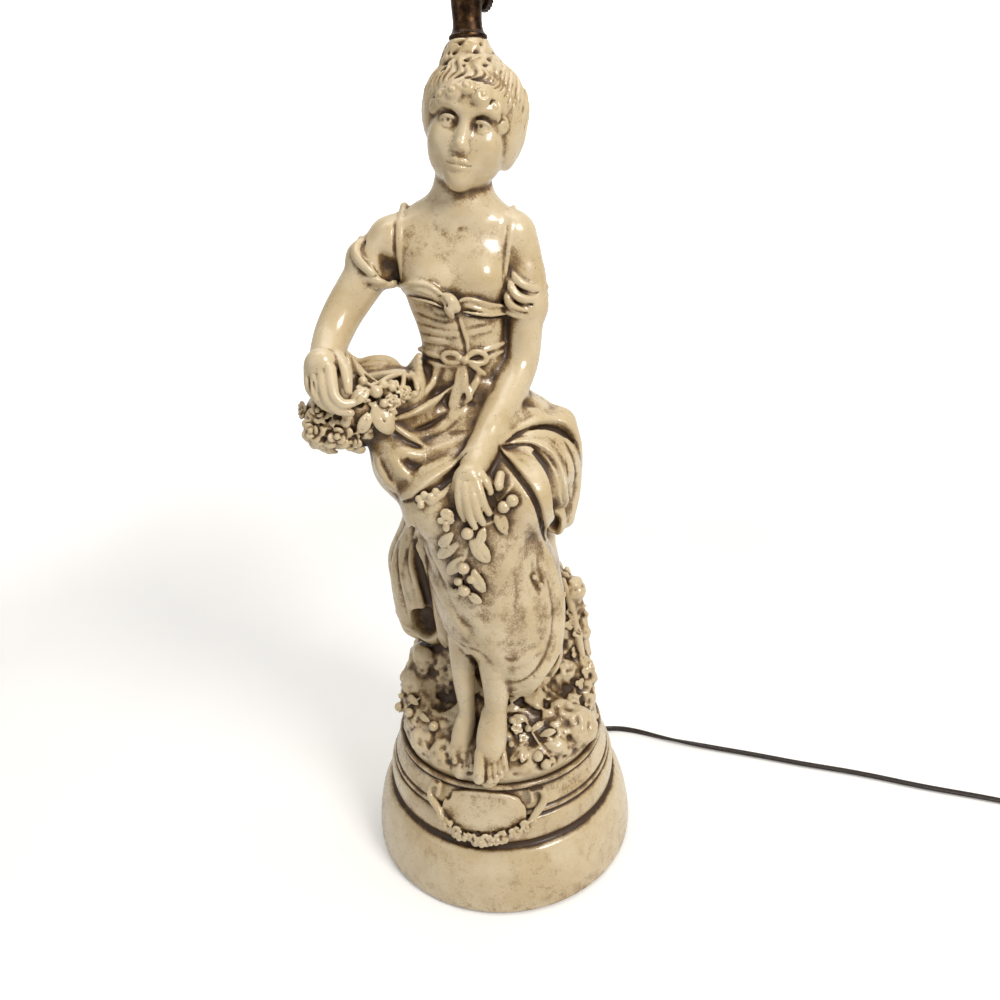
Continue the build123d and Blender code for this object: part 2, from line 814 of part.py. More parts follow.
def least_gap(path, length, own_d, step=2.0):
    """The least clear distance between stretches of a tube that aren't next to each other."""
    count = int(length / step)
    places = [tuple(path @ (index / count)) for index in range(count + 1)]
    apart = int(4 * own_d / step)
    nearest = min(
        sum((a - b) ** 2 for a, b in zip(places[first], places[second]))
        for first in range(count + 1)
        for second in range(first + apart, count + 1)
    )
    return nearest**0.5 - own_d


print("coil length", round(coil_length), "volume over section x length",
      round(cord_coil.part.volume / (pi * cord_r**2 * coil_length), 4))
print("coil least gap to itself", round(least_gap(coil_path.wire(), coil_length, cord_d), 3))
print("cord length from bushing to plug", round(free_length + coil_length))


# ---------------------------------------------------------------- plug
plug_way = Vector(last_way.X, last_way.Y, 0).normalized()
plug_height = 2 * plug_back.Z
plug_plane = Plane(origin=plug_back, x_dir=(plug_way.Y, -plug_way.X, 0), z_dir=plug_way)
with BuildPart() as plug_body:
    for distance, width, height in (
        (0, 0.45 * plug_width, 0.75 * plug_height),
        (plug_nose, plug_width, plug_height),
        (plug_length, plug_width, plug_height),
    ):
        with BuildSketch(plug_plane.offset(distance)):
            RectangleRounded(width, height, 0.3 * height)
    loft(ruled=True)
    with BuildSketch(plug_plane.offset(plug_length - blade_sunk)):
        with GridLocations(blade_spacing, 0, 2, 1):
            Rectangle(blade_thickness, blade_width)
    extrude(amount=blade_sunk, mode=Mode.SUBTRACT)
finish(plug_body, "plug_body")

with BuildPart() as plug_blades:
    with BuildSketch(plug_plane.offset(plug_length - blade_sunk)):
        with GridLocations(blade_spacing, 0, 2, 1):
            Rectangle(blade_thickness, blade_width)
    extrude(amount=blade_sunk + blade_length)
finish(plug_blades, "plug_blades")
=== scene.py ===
import json
import math

import bpy
import numpy as np
import openvdb
from mathutils import Matrix, Vector


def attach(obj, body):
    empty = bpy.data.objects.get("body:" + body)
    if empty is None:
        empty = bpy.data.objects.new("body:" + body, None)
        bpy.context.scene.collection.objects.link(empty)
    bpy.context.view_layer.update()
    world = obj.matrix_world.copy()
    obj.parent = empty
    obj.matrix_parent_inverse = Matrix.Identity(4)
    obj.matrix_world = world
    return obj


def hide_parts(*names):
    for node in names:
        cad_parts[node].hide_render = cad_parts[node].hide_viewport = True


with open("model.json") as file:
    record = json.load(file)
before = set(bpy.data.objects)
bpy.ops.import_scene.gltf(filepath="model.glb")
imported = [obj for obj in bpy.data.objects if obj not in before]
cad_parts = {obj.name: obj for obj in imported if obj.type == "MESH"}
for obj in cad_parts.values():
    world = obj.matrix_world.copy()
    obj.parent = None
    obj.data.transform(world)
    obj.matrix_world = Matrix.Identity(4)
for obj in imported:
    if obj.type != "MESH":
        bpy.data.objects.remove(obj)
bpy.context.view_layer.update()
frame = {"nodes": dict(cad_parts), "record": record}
MM = 0.001


# ================================================================ camera
# Fitted to the ellipses of the round plinth. Millimetres, then metres for the scene.
camera_place = np.array([0.0, -545.1, 524.4])
camera_pitch, camera_yaw, camera_roll = map(math.radians, (-21.56, 0.81, -2.44))
focal_px = 750.0
image_px = 1000.0
sensor_width = 36.0

cos_p, sin_p = math.cos(camera_pitch), math.sin(camera_pitch)
cos_y, sin_y = math.cos(camera_yaw), math.sin(camera_yaw)
look_way = np.array([sin_y * cos_p, cos_y * cos_p, sin_p])
level_right = np.array([cos_y, -sin_y, 0.0])
level_up = np.cross(level_right, look_way)
view_right = level_right * math.cos(camera_roll) + level_up * math.sin(camera_roll)
view_up = -level_right * math.sin(camera_roll) + level_up * math.cos(camera_roll)

camera_data = bpy.data.cameras.new("photo_camera")
camera_data.sensor_width = sensor_width
camera_data.lens = sensor_width * focal_px / image_px
camera = bpy.data.objects.new("photo_camera", camera_data)
bpy.context.scene.collection.objects.link(camera)
turn = Matrix((view_right, view_up, -look_way)).transposed()
camera.matrix_world = Matrix.Translation(Vector(camera_place * MM)) @ turn.to_4x4()
camera_data.clip_end = 100
bpy.context.scene.camera = camera


def ray_way(px, py):
    """The direction in which the camera sees a place in the picture."""
    middle = image_px / 2
    way = look_way * focal_px + view_right * (px - middle) + view_up * (middle - py)
    return way / np.linalg.norm(way)


# ================================================================ small makers
def add_mesh(name, points, faces, material):
    """A smooth mesh object from points in millimetres."""
    mesh = bpy.data.meshes.new(name)
    if isinstance(faces, np.ndarray):
        count = len(faces)
        mesh.vertices.add(len(points))
        mesh.vertices.foreach_set("co", (np.asarray(points, np.float32) * MM).ravel())
        mesh.loops.add(count * faces.shape[1])
        mesh.loops.foreach_set("vertex_index", faces.astype(np.int32).ravel())
        mesh.polygons.add(count)
        starts = np.arange(count, dtype=np.int32) * faces.shape[1]
        mesh.polygons.foreach_set("loop_start", starts)
        mesh.update(calc_edges=True)
    else:
        mesh.from_pydata([Vector(p) * MM for p in points], [], faces)
    mesh.polygons.foreach_set("use_smooth", np.ones(len(mesh.polygons), bool))
    mesh.materials.append(material)
    obj = bpy.data.objects.new(name, mesh)
    bpy.context.scene.collection.objects.link(obj)
    return obj


def set_layer(obj, name, values):
    """Give each point of a mesh a number that its material reads."""
    layer = obj.data.attributes.new(name, "FLOAT", "POINT")
    layer.data.foreach_set("value", np.asarray(values, np.float32))


def tube_faces(rows, sides, flip=False):
    """The faces of a closed tube whose points lie in rows of so many sides."""
    faces = []
    for i in range(rows - 1):
        for j in range(sides):
            k = (j + 1) % sides
            faces.append((i * sides + j, i * sides + k, (i + 1) * sides + k, (i + 1) * sides + j))
    faces.append(tuple(range(sides))[::-1])
    faces.append(tuple((rows - 1) * sides + j for j in range(sides)))
    return [face[::-1] for face in faces] if flip else faces


def beside_and_above(way):
    """The level direction square to a way, and the one square to both."""
    side = np.cross(way, (0, 0, 1.0))
    side /= np.linalg.norm(side)
    return side, np.cross(side, way)


def smooth_path(points, per_span=6):
    """A Catmull-Rom curve through the points, as an array. Extra columns come along."""
    p = np.asarray(points, float)
    if len(p) < 3:
        t = np.linspace(0, 1, per_span + 1)[:, None]
        return p[0] * (1 - t) + p[-1] * t
    padded = np.vstack([2 * p[0] - p[1], p, 2 * p[-1] - p[-2]])
    out = []
    for i in range(1, len(padded) - 2):
        a, b, c, d = padded[i - 1:i + 3]
        for t in np.arange(per_span) / per_span:
            out.append(0.5 * (2 * b + (c - a) * t + (2 * a - 5 * b + 4 * c - d) * t * t
                              + (3 * b - a - 3 * c + d) * t ** 3))
    out.append(p[-1])
    return np.array(out)


# ================================================================ materials
def srgb(r, g, b):
    """Linear colour from the usual 0-255 numbers."""
    def one(c):
        c /= 255
        return c / 12.92 if c <= 0.04045 else ((c + 0.055) / 1.055) ** 2.4
    return (one(r), one(g), one(b), 1.0)


class Look:
    """A node material with a few short makers."""

    def __init__(self, name, **shader):
        self.material = bpy.data.materials.new(name)
        self.material.use_nodes = True
        self.tree = self.material.node_tree
        self.shader = self.tree.nodes["Principled BSDF"]
        for key, value in shader.items():
            label = key.replace("_", " ").title().replace("Ior", "IOR")
            self.shader.inputs[label].default_value = value
        self.place = self.tree.nodes.new("ShaderNodeTexCoord").outputs["Object"]

    def link(self, a, b):
        self.tree.links.new(a, b)

    def put(self, socket, value):
        if isinstance(value, bpy.types.NodeSocket):
            self.link(value, socket)
        else:
            socket.default_value = value

    def noise(self, scale, detail=3.0, rough=0.55):
        node = self.tree.nodes.new("ShaderNodeTexNoise")
        node.inputs["Scale"].default_value = scale
        node.inputs["Detail"].default_value = detail
        node.inputs["Roughness"].default_value = rough
        self.link(self.place, node.inputs["Vector"])
        return node.outputs["Fac"]

    def cells(self, scale):
        node = self.tree.nodes.new("ShaderNodeTexVoronoi")
        node.inputs["Scale"].default_value = scale
        self.link(self.place, node.inputs["Vector"])
        return node.outputs["Distance"]

    def attribute(self, name):
        node = self.tree.nodes.new("ShaderNodeAttribute")
        node.attribute_name = name
        return node.outputs["Fac"]

    def sum(self, a, b, how="ADD"):
        node = self.tree.nodes.new("ShaderNodeMath")
        node.operation = how
        self.put(node.inputs[0], a)
        self.put(node.inputs[1], b)
        return node.outputs[0]

    def times(self, a, b):
        return self.sum(a, b, "MULTIPLY")

    def span(self, value, low, high, to_low=0.0, to_high=1.0):
        node = self.tree.nodes.new("ShaderNodeMapRange")
        node.interpolation_type = "SMOOTHSTEP"
        self.put(node.inputs["Value"], value)
        for key, number in (("From Min", low), ("From Max", high),
                            ("To Min", to_low), ("To Max", to_high)):
            node.inputs[key].default_value = number
        return node.outputs["Result"]

    def mix(self, fac, a, b):
        node = self.tree.nodes.new("ShaderNodeMix")
        node.data_type = "RGBA"
        self.put(node.inputs[0], fac)
        self.put(node.inputs[6], a)
        self.put(node.inputs[7], b)
        return node.outputs[2]

    def bump(self, height, distance, strength):
        node = self.tree.nodes.new("ShaderNodeBump")
        node.inputs["Strength"].default_value = strength
        node.inputs["Distance"].default_value = distance
        self.link(height, node.inputs["Height"])
        self.link(node.outputs["Normal"], self.shader.inputs["Normal"])

    def shade(self, **values):
        """Set inputs of the shader, named as the arguments are."""
        for key, value in values.items():
            self.put(self.shader.inputs[key.replace("_", " ").title()], value)


def plain_look(name, light, dark, roughness, scale=300.0, metallic=0.0, bump=0.00005,
               spread=0.08):
    """A finish that varies gently between two colours."""
    look = Look(name, metallic=metallic)
    grain = look.noise(scale, 4.0, 0.6)
    coarse_grain = look.noise(scale * 0.4)
    look.shade(base_color=look.mix(look.span(grain, 0.35, 0.68), srgb(*dark), srgb(*light)),
               roughness=look.span(coarse_grain, 0.3, 0.7, roughness - spread, roughness + spread))
    look.bump(grain, bump, 0.6)
    return look.material


# The glaze: cream over a brown wash that stays in the hollows, with dark specks, and painted shade
# where the surface faces down and in the heap of flowers.
glaze_look = Look("cream_glaze", ior=1.5, coat_roughness=0.09, coat_ior=1.5)
cream = srgb(214, 196, 162)
warm_cream = srgb(200, 178, 138)
tan_wash_and_shade = srgb(138, 109, 68)
brown_wash_and_shade = srgb(64, 43, 22)
patch = glaze_look.noise(26.0, 4.0, 0.6)
cloud = glaze_look.noise(110.0, 5.0, 0.65)
fine_grain = glaze_look.noise(900.0, 3.0, 0.6)
deep = glaze_look.span(glaze_look.attribute("hollow_deep"), 0.42, 0.72)
hollow = glaze_look.times(glaze_look.attribute("hollow_fine"), 0.70)
for part, share in ((glaze_look.attribute("hollow_middle"), 1.00),
                    (glaze_look.attribute("hollow_wide"), 0.80), (deep, 0.55)):
    hollow = glaze_look.sum(hollow, glaze_look.times(part, share))
for grain, sway in ((cloud, 0.24), (fine_grain, 0.14), (patch, 0.10)):
    hollow = glaze_look.sum(hollow, glaze_look.span(grain, 0.3, 0.7, -sway, sway))
# The stain layer adds old wash on cloth and rock, and painted shade where the surface faces down and in
# the heap of flowers.
hollow = glaze_look.sum(hollow, glaze_look.times(glaze_look.attribute("stain_and_shade"), 0.17))
specks = glaze_look.times(glaze_look.span(glaze_look.cells(420.0), 0.10, 0.20, 1.0, 0.0),
                          glaze_look.span(glaze_look.noise(60.0, 2.0), 0.50, 0.66))
glaze_colour = cream
# The tan and brown tints paint the wash, and also the painted shade that the stain layer brings.
for amount, tint in ((glaze_look.span(patch, 0.35, 0.65), warm_cream),
                     (glaze_look.span(hollow, -0.20, 0.42), tan_wash_and_shade),
                     (glaze_look.span(hollow, 0.10, 1.05), brown_wash_and_shade),
                     (glaze_look.times(specks, 0.75), brown_wash_and_shade)):
    glaze_colour = glaze_look.mix(amount, glaze_colour, tint)
dull = glaze_look.span(hollow, 0.0, 0.8)
glaze_look.shade(base_color=glaze_colour,
                 roughness=glaze_look.sum(glaze_look.span(cloud, 0.3, 0.7, 0.24, 0.38),
                                          glaze_look.times(dull, 0.25)),
                 coat_weight=glaze_look.span(hollow, 0.0, 0.8, 0.55, 0.12))
relief = glaze_look.times(cloud, 0.7)
for part, share in ((fine_grain, 0.12), (specks, -0.35)):
    relief = glaze_look.sum(relief, glaze_look.times(part, share))
glaze_look.bump(relief, 0.0004, 0.7)
glaze = glaze_look.material

# Each slot's material name, light and dark colour, roughness, grain and so on.
finishes = {
    "bronze": ("dark_bronze", (92, 66, 42), (40, 27, 18), 0.34, 260.0, 0.9),
    "lampholder_brass": ("antique_brass", (128, 94, 52), (78, 54, 30), 0.33, 220.0, 0.92),
    "terminal_brass": ("brass", (214, 176, 92), (186, 146, 70), 0.28, 260.0, 1.0),
    "blade_brass": ("nickelled_brass", (214, 204, 170), (190, 178, 140), 0.25, 260.0, 1.0),
    "zinc_steel": ("zinc_steel", (196, 196, 192), (160, 160, 158), 0.35, 500.0, 1.0),
    "thread_aluminium": ("aluminium", (218, 218, 218), (190, 190, 190), 0.3, 500.0, 1.0),
    "felt": ("brown_felt", (84, 66, 52), (52, 40, 32), 0.95, 1800.0, 0.0, 0.0003, 0.04),
    "phenolic": ("black_phenolic", (42, 39, 37), (28, 26, 25), 0.4),
    "dark_knob": ("dark_knob", (60, 42, 32), (38, 27, 21), 0.3),
    "lead_sheath": ("lead_sheath", (60, 60, 60), (42, 42, 42), 0.45),
    "sleeve_card": ("fibre_card", (196, 170, 126), (168, 142, 100), 0.85, 900.0),
    "black_plastic": ("dark_plastic", (52, 40, 34), (34, 27, 23), 0.42, 420.0),
    "cord_sheath": ("dark_cord", (50, 34, 26), (28, 19, 15), 0.4, 420.0),
}
looks = {slot: plain_look(*finish) for slot, finish in finishes.items()}
for entry in frame["record"]["subparts"]:
    mesh = frame["nodes"][entry["node"]].data
    mesh.materials.clear()
    mesh.materials.append(looks.get(entry["material_slot"], glaze))


# ================================================================ floor and light
floor_z, floor_front = -0.0004, -2.2
cove_r, cove_y, cove_steps, wall_top, half_floor = 0.45, 0.62, 24, 2.6, 3.2
cove = [(floor_front, floor_z), (cove_y, floor_z)]
cove += [(cove_y + cove_r * math.sin(a), floor_z + cove_r * (1 - math.cos(a)))
         for a in np.linspace(0, math.pi / 2, cove_steps + 1)[1:]]
cove.append((cove_y + cove_r, wall_top))
points = [(side * half_floor / MM, y / MM, z / MM) for y, z in cove for side in (-1, 1)]
faces = [(2 * i, 2 * i + 1, 2 * i + 3, 2 * i + 2) for i in range(len(cove) - 1)]
paper = Look("pale_paper")
# The camera sees the paper a little brighter than the light makes it, and brighter still far
# away, so that it is white.
glow = paper.tree.nodes.new("ShaderNodeLightPath").outputs["Is Camera Ray"]
away = paper.tree.nodes.new("ShaderNodeVectorMath")
away.operation = "LENGTH"
paper.link(paper.place, away.inputs[0])
lift = paper.span(away.outputs["Value"], 0.7, 1.8, 0.22, 0.95)
paper.shade(base_color=paper.mix(paper.span(paper.noise(3.0), 0.3, 0.7),
                                 (0.86, 0.855, 0.845, 1), (0.90, 0.895, 0.885, 1)),
            roughness=0.9, emission_color=(1.0, 0.99, 0.97, 1),
            emission_strength=paper.times(glow, lift))
backdrop = add_mesh("backdrop", points, faces, paper.material)

world = bpy.data.worlds.new("studio")
bpy.context.scene.world = world
world.use_nodes = True
sky_node = world.node_tree.nodes["Background"]
sky_node.inputs["Color"].default_value = (1.0, 0.985, 0.96, 1)
# The camera sees plain white where the room ends.
seen = world.node_tree.nodes.new("ShaderNodeLightPath").outputs["Is Camera Ray"]
strength = world.node_tree.nodes.new("ShaderNodeMapRange")
strength.inputs["To Min"].default_value = 0.25
strength.inputs["To Max"].default_value = 1.0
world.node_tree.links.new(seen, strength.inputs["Value"])
world.node_tree.links.new(strength.outputs["Result"], sky_node.inputs["Strength"])

lamp_middle = Vector((0, 0, 0.32))
for name, place, size, power, tint in (
    ("key", (0.85, -0.95, 1.35), (0.5, 0.5), 18.5, (1.0, 0.965, 0.91)),
    ("fill", (-1.2, -0.8, 0.8), (1.0, 1.0), 2.6, (1.0, 0.98, 0.95)),
    ("top", (0.1, 0.25, 1.9), (1.4, 1.2), 6.5, (1.0, 0.99, 0.97)),
    ("wall_wash", (0.0, -0.2, 2.3), (2.4, 0.6), 9.0, (1.0, 0.99, 0.97)),
):
    data = bpy.data.lights.new(name, "AREA")
    data.shape = "RECTANGLE"
    data.size, data.size_y = size
    data.energy = power
    data.color = tint
    light = bpy.data.objects.new(name, data)
    bpy.context.scene.collection.objects.link(light)
    light.location = place
    light.rotation_euler = (lamp_middle - Vector(place)).to_track_quat("-Z", "Y").to_euler()

bpy.context.scene.view_settings.view_transform = "Standard"


# ================================================================ mains cord
# Out at the back, down to the table, round to the viewer's right, and away to a loose coil
# outside the picture. Millimetres.
cord_width, cord_thick = 5.6, 3.0
exit_radius, exit_z = 112.9, 8.5
half = cord_width / 2
exit_way = np.array([math.cos(math.radians(45)), math.sin(math.radians(45)), 0.0])
exit_place = exit_way * exit_radius + np.array([0, 0, exit_z])
route = [exit_place, exit_place + exit_way * 12, (99.5, 97.5, 5.6), (112.0, 101.5, 3.2),
         (127.0, 101.0, half), (145.0, 94.5, half), (164.0, 84.5, half), (184.0, 76.0, half),
         (213.0, 64.5, half), (250.0, 51.5, half), (294.0, 34.0, half), (342.0, 18.0, half),
         (391.0, -4.0, half), (438.0, -20.5, half), (482.0, -39.0, half), (508.0, -45.5, half)]
route = [np.array(p, float) for p in route]
coil_r, coil_pitch, coil_in, coil_climb, coil_out = 43.0, 6.2, 2.9, 0.5, 2.85
coil_dip, tail_turns, tail_flare = 0.3, 0.35, 16.0
coil_turns = coil_in + coil_climb + coil_out
coil_stops = 144
heading = (route[-1] - route[-2]) / np.linalg.norm(route[-1] - route[-2])
coil_side = np.array([heading[1], -heading[0], 0])
coil_first = route[-1] + heading * cord_width
coil_centre = coil_first + coil_side * coil_r


def coil_place(at):
    """A place in the coil, so many turns in: winding in below, then climbing and winding out
    on top."""
    lower = min(at, coil_in)
    upper = max(at - coil_in - coil_climb, 0)
    climb = min(max((at - coil_in) / coil_climb, 0), 1)
    r = coil_r - coil_pitch * (lower - upper + coil_dip * math.sin(math.pi * climb) ** 2)
    tail = max(at - coil_turns + tail_turns, 0) / tail_turns
    r += tail_flare * tail ** 2
    lift = coil_pitch * climb ** 2 * (3 - 2 * climb)
    way = -coil_side * math.cos(2 * math.pi * at) + heading * math.sin(2 * math.pi * at)
    return coil_centre + way * r + np.array([0, 0, lift])


route += [coil_place(coil_turns * i / coil_stops) for i in range(coil_stops + 1)]
last_way = route[-1] - route[-2]
last_way[2] = 0
last_way /= np.linalg.norm(last_way)
route.append(route[-1] + last_way * cord_width)
route_curve = bpy.data.curves.new("cord_route", "CURVE")
route_curve.dimensions = "3D"
spline = route_curve.splines.new("NURBS")
spline.points.add(len(route) - 1)
for point, p in zip(spline.points, route):
    point.co = (*(p * MM), 1.0)
spline.order_u = 3
spline.use_endpoint_u = True
spline.resolution_u = 4
route_object = bpy.data.objects.new("cord_route", route_curve)
bpy.context.scene.collection.objects.link(route_object)
route_mesh = bpy.data.meshes.new_from_object(route_object)
path_m = [tuple(v.co) for v in route_mesh.vertices]
bpy.data.objects.remove(route_object)
path = np.array(path_m) / MM

# Two round cores side by side with a shallow waist between them.
core = cord_thick / 2
core_gap = half - core
section = []
for side in (1, -1):
    for a in np.linspace(-105, 105, 13):
        a = math.radians(a + (0 if side > 0 else 180))
        section.append((side * core_gap + core * math.cos(a), core * math.sin(a)))
ways = np.gradient(path, axis=0)
ways /= np.linalg.norm(ways, axis=1, keepdims=True)
run = np.concatenate([[0], np.cumsum(np.linalg.norm(np.diff(path, axis=0), axis=1))])
# It leaves on edge, twists to lie flat on the table, and is on edge again in the coil.
flat = np.clip((run - 60) / 90, 0, 1) * np.clip((455 - run) / 60, 0, 1)
points = []
for p, way, lie in zip(path, ways, flat):
    side, top = beside_and_above(way)
    roll_by = math.pi / 2 * (1 - lie * lie * (3 - 2 * lie))
    wide = side * math.cos(roll_by) + top * math.sin(roll_by)
    thin = -side * math.sin(roll_by) + top * math.cos(roll_by)
    points += [p + wide * a + thin * b for a, b in section]
mains_cord = add_mesh("mains_cord", points, tube_faces(len(path), len(section)),
                      looks["cord_sheath"])
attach(mains_cord, "lamp")
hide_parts("free_cord", "cord_coil")

# Tapered, ribbed relief where the cord meets the plug.
relief_length, relief_plug_r, relief_cord_r = 26.0, 4.6, 3.3
relief_steps, relief_sides, relief_groove, relief_flat = 27, 20, 0.45, 0.7
points = []
for i in range(relief_steps):
    t = i / (relief_steps - 1)
    at = np.interp(run[-1] - relief_length * t, run, np.arange(len(run)))
    low = int(at)
    p = path[low] + (path[min(low + 1, len(path) - 1)] - path[low]) * (at - low)
    side, top = beside_and_above(ways[low])
    r = relief_plug_r + (relief_cord_r - relief_plug_r) * t - (relief_groove if i % 4 == 2 else 0)
    for a in 2 * math.pi * np.arange(relief_sides) / relief_sides:
        points.append(p + side * r * relief_flat * math.cos(a) + top * r * math.sin(a))
plug_relief = add_mesh("plug_relief", points, tube_faces(relief_steps, relief_sides, flip=True),
                       looks["black_plastic"])
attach(plug_relief, "lamp")


# ================================================================ clay
# The figure is modelled as distances in millimetres on grids: forms are joined, cut and
# pressed, each in its own window, and the surface at zero becomes the mesh.
REACH = 7.0
clay_steps = []


def smin(a, b, k):
    """The lesser of two distances, rounded over where they differ by less than k."""
    if k <= 0:
        return np.minimum(a, b)
    h = np.maximum(k - np.abs(a - b), 0) / k
    return np.minimum(a, b) - h * h * (k / 4)


class Clay:
    """A block of clay on a regular grid."""

    def __init__(self, low, high, step):
        self.low = np.asarray(low, float)
        self.step = step
        self.size = np.ceil((np.asarray(high, float) - self.low) / step).astype(int) + 1
        self.f = np.full(self.size, REACH, np.float32)

    def window(self, low, high):
        a = np.maximum(np.floor((np.asarray(low) - self.low) / self.step).astype(int), 0)
        b = np.ceil((np.asarray(high) - self.low) / self.step).astype(int) + 1
        b = np.minimum(b, self.size)
        if (a >= b).any():
            return None
        where = tuple(slice(a[i], b[i]) for i in range(3))
        axes = [(self.low[i] + self.step * np.arange(a[i], b[i])).astype(np.float32)
                for i in range(3)]
        return where, axes[0][:, None, None], axes[1][None, :, None], axes[2][None, None, :]

    def work(self, step):
        found = self.window(*step["span"])
        if found is None:
            return
        where, x, y, z = found
        here = self.f[where]
        kind, k = step["kind"], step["k"]
        if kind == "press":
            out = here + step["shape"](x, y, z, here)
        else:
            d = step["shape"](x, y, z).astype(np.float32)
            out = smin(here, d, k) if kind == "add" else -smin(-here, d, k)
        self.f[where] = np.clip(out, -REACH, REACH)

    def at(self, points):
        """The distance at places, from the eight grid points round each."""
        q = (np.asarray(points, float) - self.low) / self.step
        q = np.clip(q, 0, self.size - 1.001)
        i = np.floor(q).astype(int)
        t = q - i
        x, y, z = i[..., 0], i[..., 1], i[..., 2]
        u, v, w = t[..., 0], t[..., 1], t[..., 2]
        f = self.f
        near = (f[x, y, z] * (1 - u) + f[x + 1, y, z] * u) * (1 - v) + (
            f[x, y + 1, z] * (1 - u) + f[x + 1, y + 1, z] * u) * v
        far = (f[x, y, z + 1] * (1 - u) + f[x + 1, y, z + 1] * u) * (1 - v) + (
            f[x, y + 1, z + 1] * (1 - u) + f[x + 1, y + 1, z + 1] * u) * v
        return near * (1 - w) + far * w

    def outward(self, places, e):
        """The direction out of the clay at places, felt over the distance e."""
        n = np.stack([self.at(places + d) - self.at(places - d) for d in np.eye(3) * e], -1)
        return n / np.maximum(np.linalg.norm(n, axis=-1, keepdims=True), 1e-6)

    def solidity(self):
        """1 in the clay, 0 outside it."""
        return np.clip(0.5 - self.f / (2 * self.step), 0, 1)


def worked_clay(low, high, step):
    """A block with every step done to it."""
    clay = Clay(low, high, step)
    for one in clay_steps:
        clay.work(one)
    return clay


def keep_step(kind, span, shape, k=0.0, reach=REACH):
    low, high = np.asarray(span[0], float), np.asarray(span[1], float)
    clay_steps.append({"kind": kind, "shape": shape, "k": k, "span": (low - reach, high + reach)})


def egg(centre, radii, turn=None, k=0.0, kind="add"):
    """A ball with three radii, turned by a matrix."""
    c = np.asarray(centre, float)
    r = np.asarray(radii, float)
    m = np.eye(3) if turn is None else np.asarray(turn, float)

    def shape(x, y, z):
        dx, dy, dz = x - c[0], y - c[1], z - c[2]
        p = [(dx * m[0, i] + dy * m[1, i] + dz * m[2, i]) for i in range(3)]
        k0 = np.sqrt(sum((p[i] / r[i]) ** 2 for i in range(3)))
        k1 = np.sqrt(sum((p[i] / r[i] ** 2) ** 2 for i in range(3)))
        return k0 * (k0 - 1) / np.maximum(k1, 1e-6)

    keep_step(kind, (c - r.max(), c + r.max()), shape, k)


def ball(centre, r, k=0.0, kind="add"):
    egg(centre, (r, r, r), None, k, kind)


def near_line(x, y, z, a, b, reach):
    """The part of a window within reach of the line from a to b, with the way to each place
    from the nearest one on the line, and the share of the line there."""
    part = []
    for i, axis in enumerate((x, y, z)):
        ends = (min(a[i], b[i]) - reach, max(a[i], b[i]) + reach)
        first, last = np.searchsorted(axis.ravel(), ends)
        if first >= last:
            return None
        part.append(slice(first, last))
    ab = b - a
    dx, dy, dz = x[part[0]] - a[0], y[:, part[1]] - a[1], z[:, :, part[2]] - a[2]
    t = np.clip((dx * ab[0] + dy * ab[1] + dz * ab[2]) / max(ab @ ab, 1e-9), 0, 1)
    return tuple(part), dx - ab[0] * t, dy - ab[1] * t, dz - ab[2] * t, t


def rope(points, radii, k=0.0, kind="add", flat=None, thin=1.0, per_span=5, smooth=True):
    """A round tube of changing radius through points. With flat it is thin times as deep
    along that direction, as a ribbon is."""
    p = np.asarray(points, float)
    r = np.broadcast_to(np.asarray(radii, float), (len(p),))
    if smooth and len(p) > 2:
        both = smooth_path(np.column_stack([p, r]), per_span)
        p, r = both[:, :3], np.maximum(both[:, 3], 0.05)
    big = r.max()
    n = None if flat is None else np.asarray(flat, float) / np.linalg.norm(flat)

    def shape(x, y, z):
        full = np.full(np.broadcast_shapes(x.shape, y.shape, z.shape), 2 * REACH, np.float32)
        for a, b, ra, rb in zip(p, p[1:], r, r[1:]):
            found = near_line(x, y, z, a, b, max(ra, rb) + REACH)
            if found is None:
                continue
            part, qx, qy, qz, t = found
            here_r = ra + (rb - ra) * t
            square = qx * qx + qy * qy + qz * qz
            if n is None:
                d = np.sqrt(square) - here_r
            else:
                across = qx * n[0] + qy * n[1] + qz * n[2]
                rest = np.maximum(square - across * across, 0)
                k0 = np.sqrt(rest + (across / thin) ** 2)
                k1 = np.sqrt(rest + (across / thin ** 2) ** 2)
                d = k0 * (k0 - here_r) / np.maximum(k1, 1e-6)
            np.minimum(full[part], d, out=full[part])
        return full

    keep_step(kind, (p.min(0) - big, p.max(0) + big), shape, k)


def bone(a, b, ra, rb, k=0.0):
    rope([a, b], [ra, rb], k, smooth=False)


def column(sections, k=0.0, folds=()):
    """A body through level ovals (z, x, y, half width, half depth), with upright folds, each
    (count, depth, phase, twist)."""
    s = smooth_path(np.asarray(sorted(sections), float), 8)
    zs = s[:, 0]
    top, bottom = zs.max(), zs.min()
    low = (np.min(s[:, 1] - s[:, 3]), np.min(s[:, 2] - s[:, 4]), bottom)
    high = (np.max(s[:, 1] + s[:, 3]), np.max(s[:, 2] + s[:, 4]), top)

    def shape(x, y, z):
        zz = np.clip(z, bottom, top)
        cx, cy, hx, hy = [np.interp(zz.ravel(), zs, s[:, i]).astype(np.float32)[None, None, :]
                          for i in (1, 2, 3, 4)]
        dx, dy = x - cx, y - cy
        k0 = np.sqrt((dx / hx) ** 2 + (dy / hy) ** 2)
        k1 = np.sqrt((dx / hx ** 2) ** 2 + (dy / hy ** 2) ** 2)
        d = k0 * (k0 - 1) / np.maximum(k1, 1e-6)
        if folds:
            phi = np.arctan2(dy, dx)
            for count, depth, phase, twist in folds:
                wave = np.cos(count * phi + phase + twist * (z - bottom))
                d = d - depth * (np.abs(wave) * 2 - 1) * np.clip(k0, 0, 1)
        over = np.maximum(z - top, bottom - z)
        return np.where(over > 0, np.sqrt(np.maximum(d, 0) ** 2 + over ** 2), np.maximum(d, over))

    keep_step("add", (low, high), shape, k)


# ---------------------------------------------------------------- noise
random_lattice = np.random.default_rng(7).random((32, 32, 32)).astype(np.float32) * 2 - 1


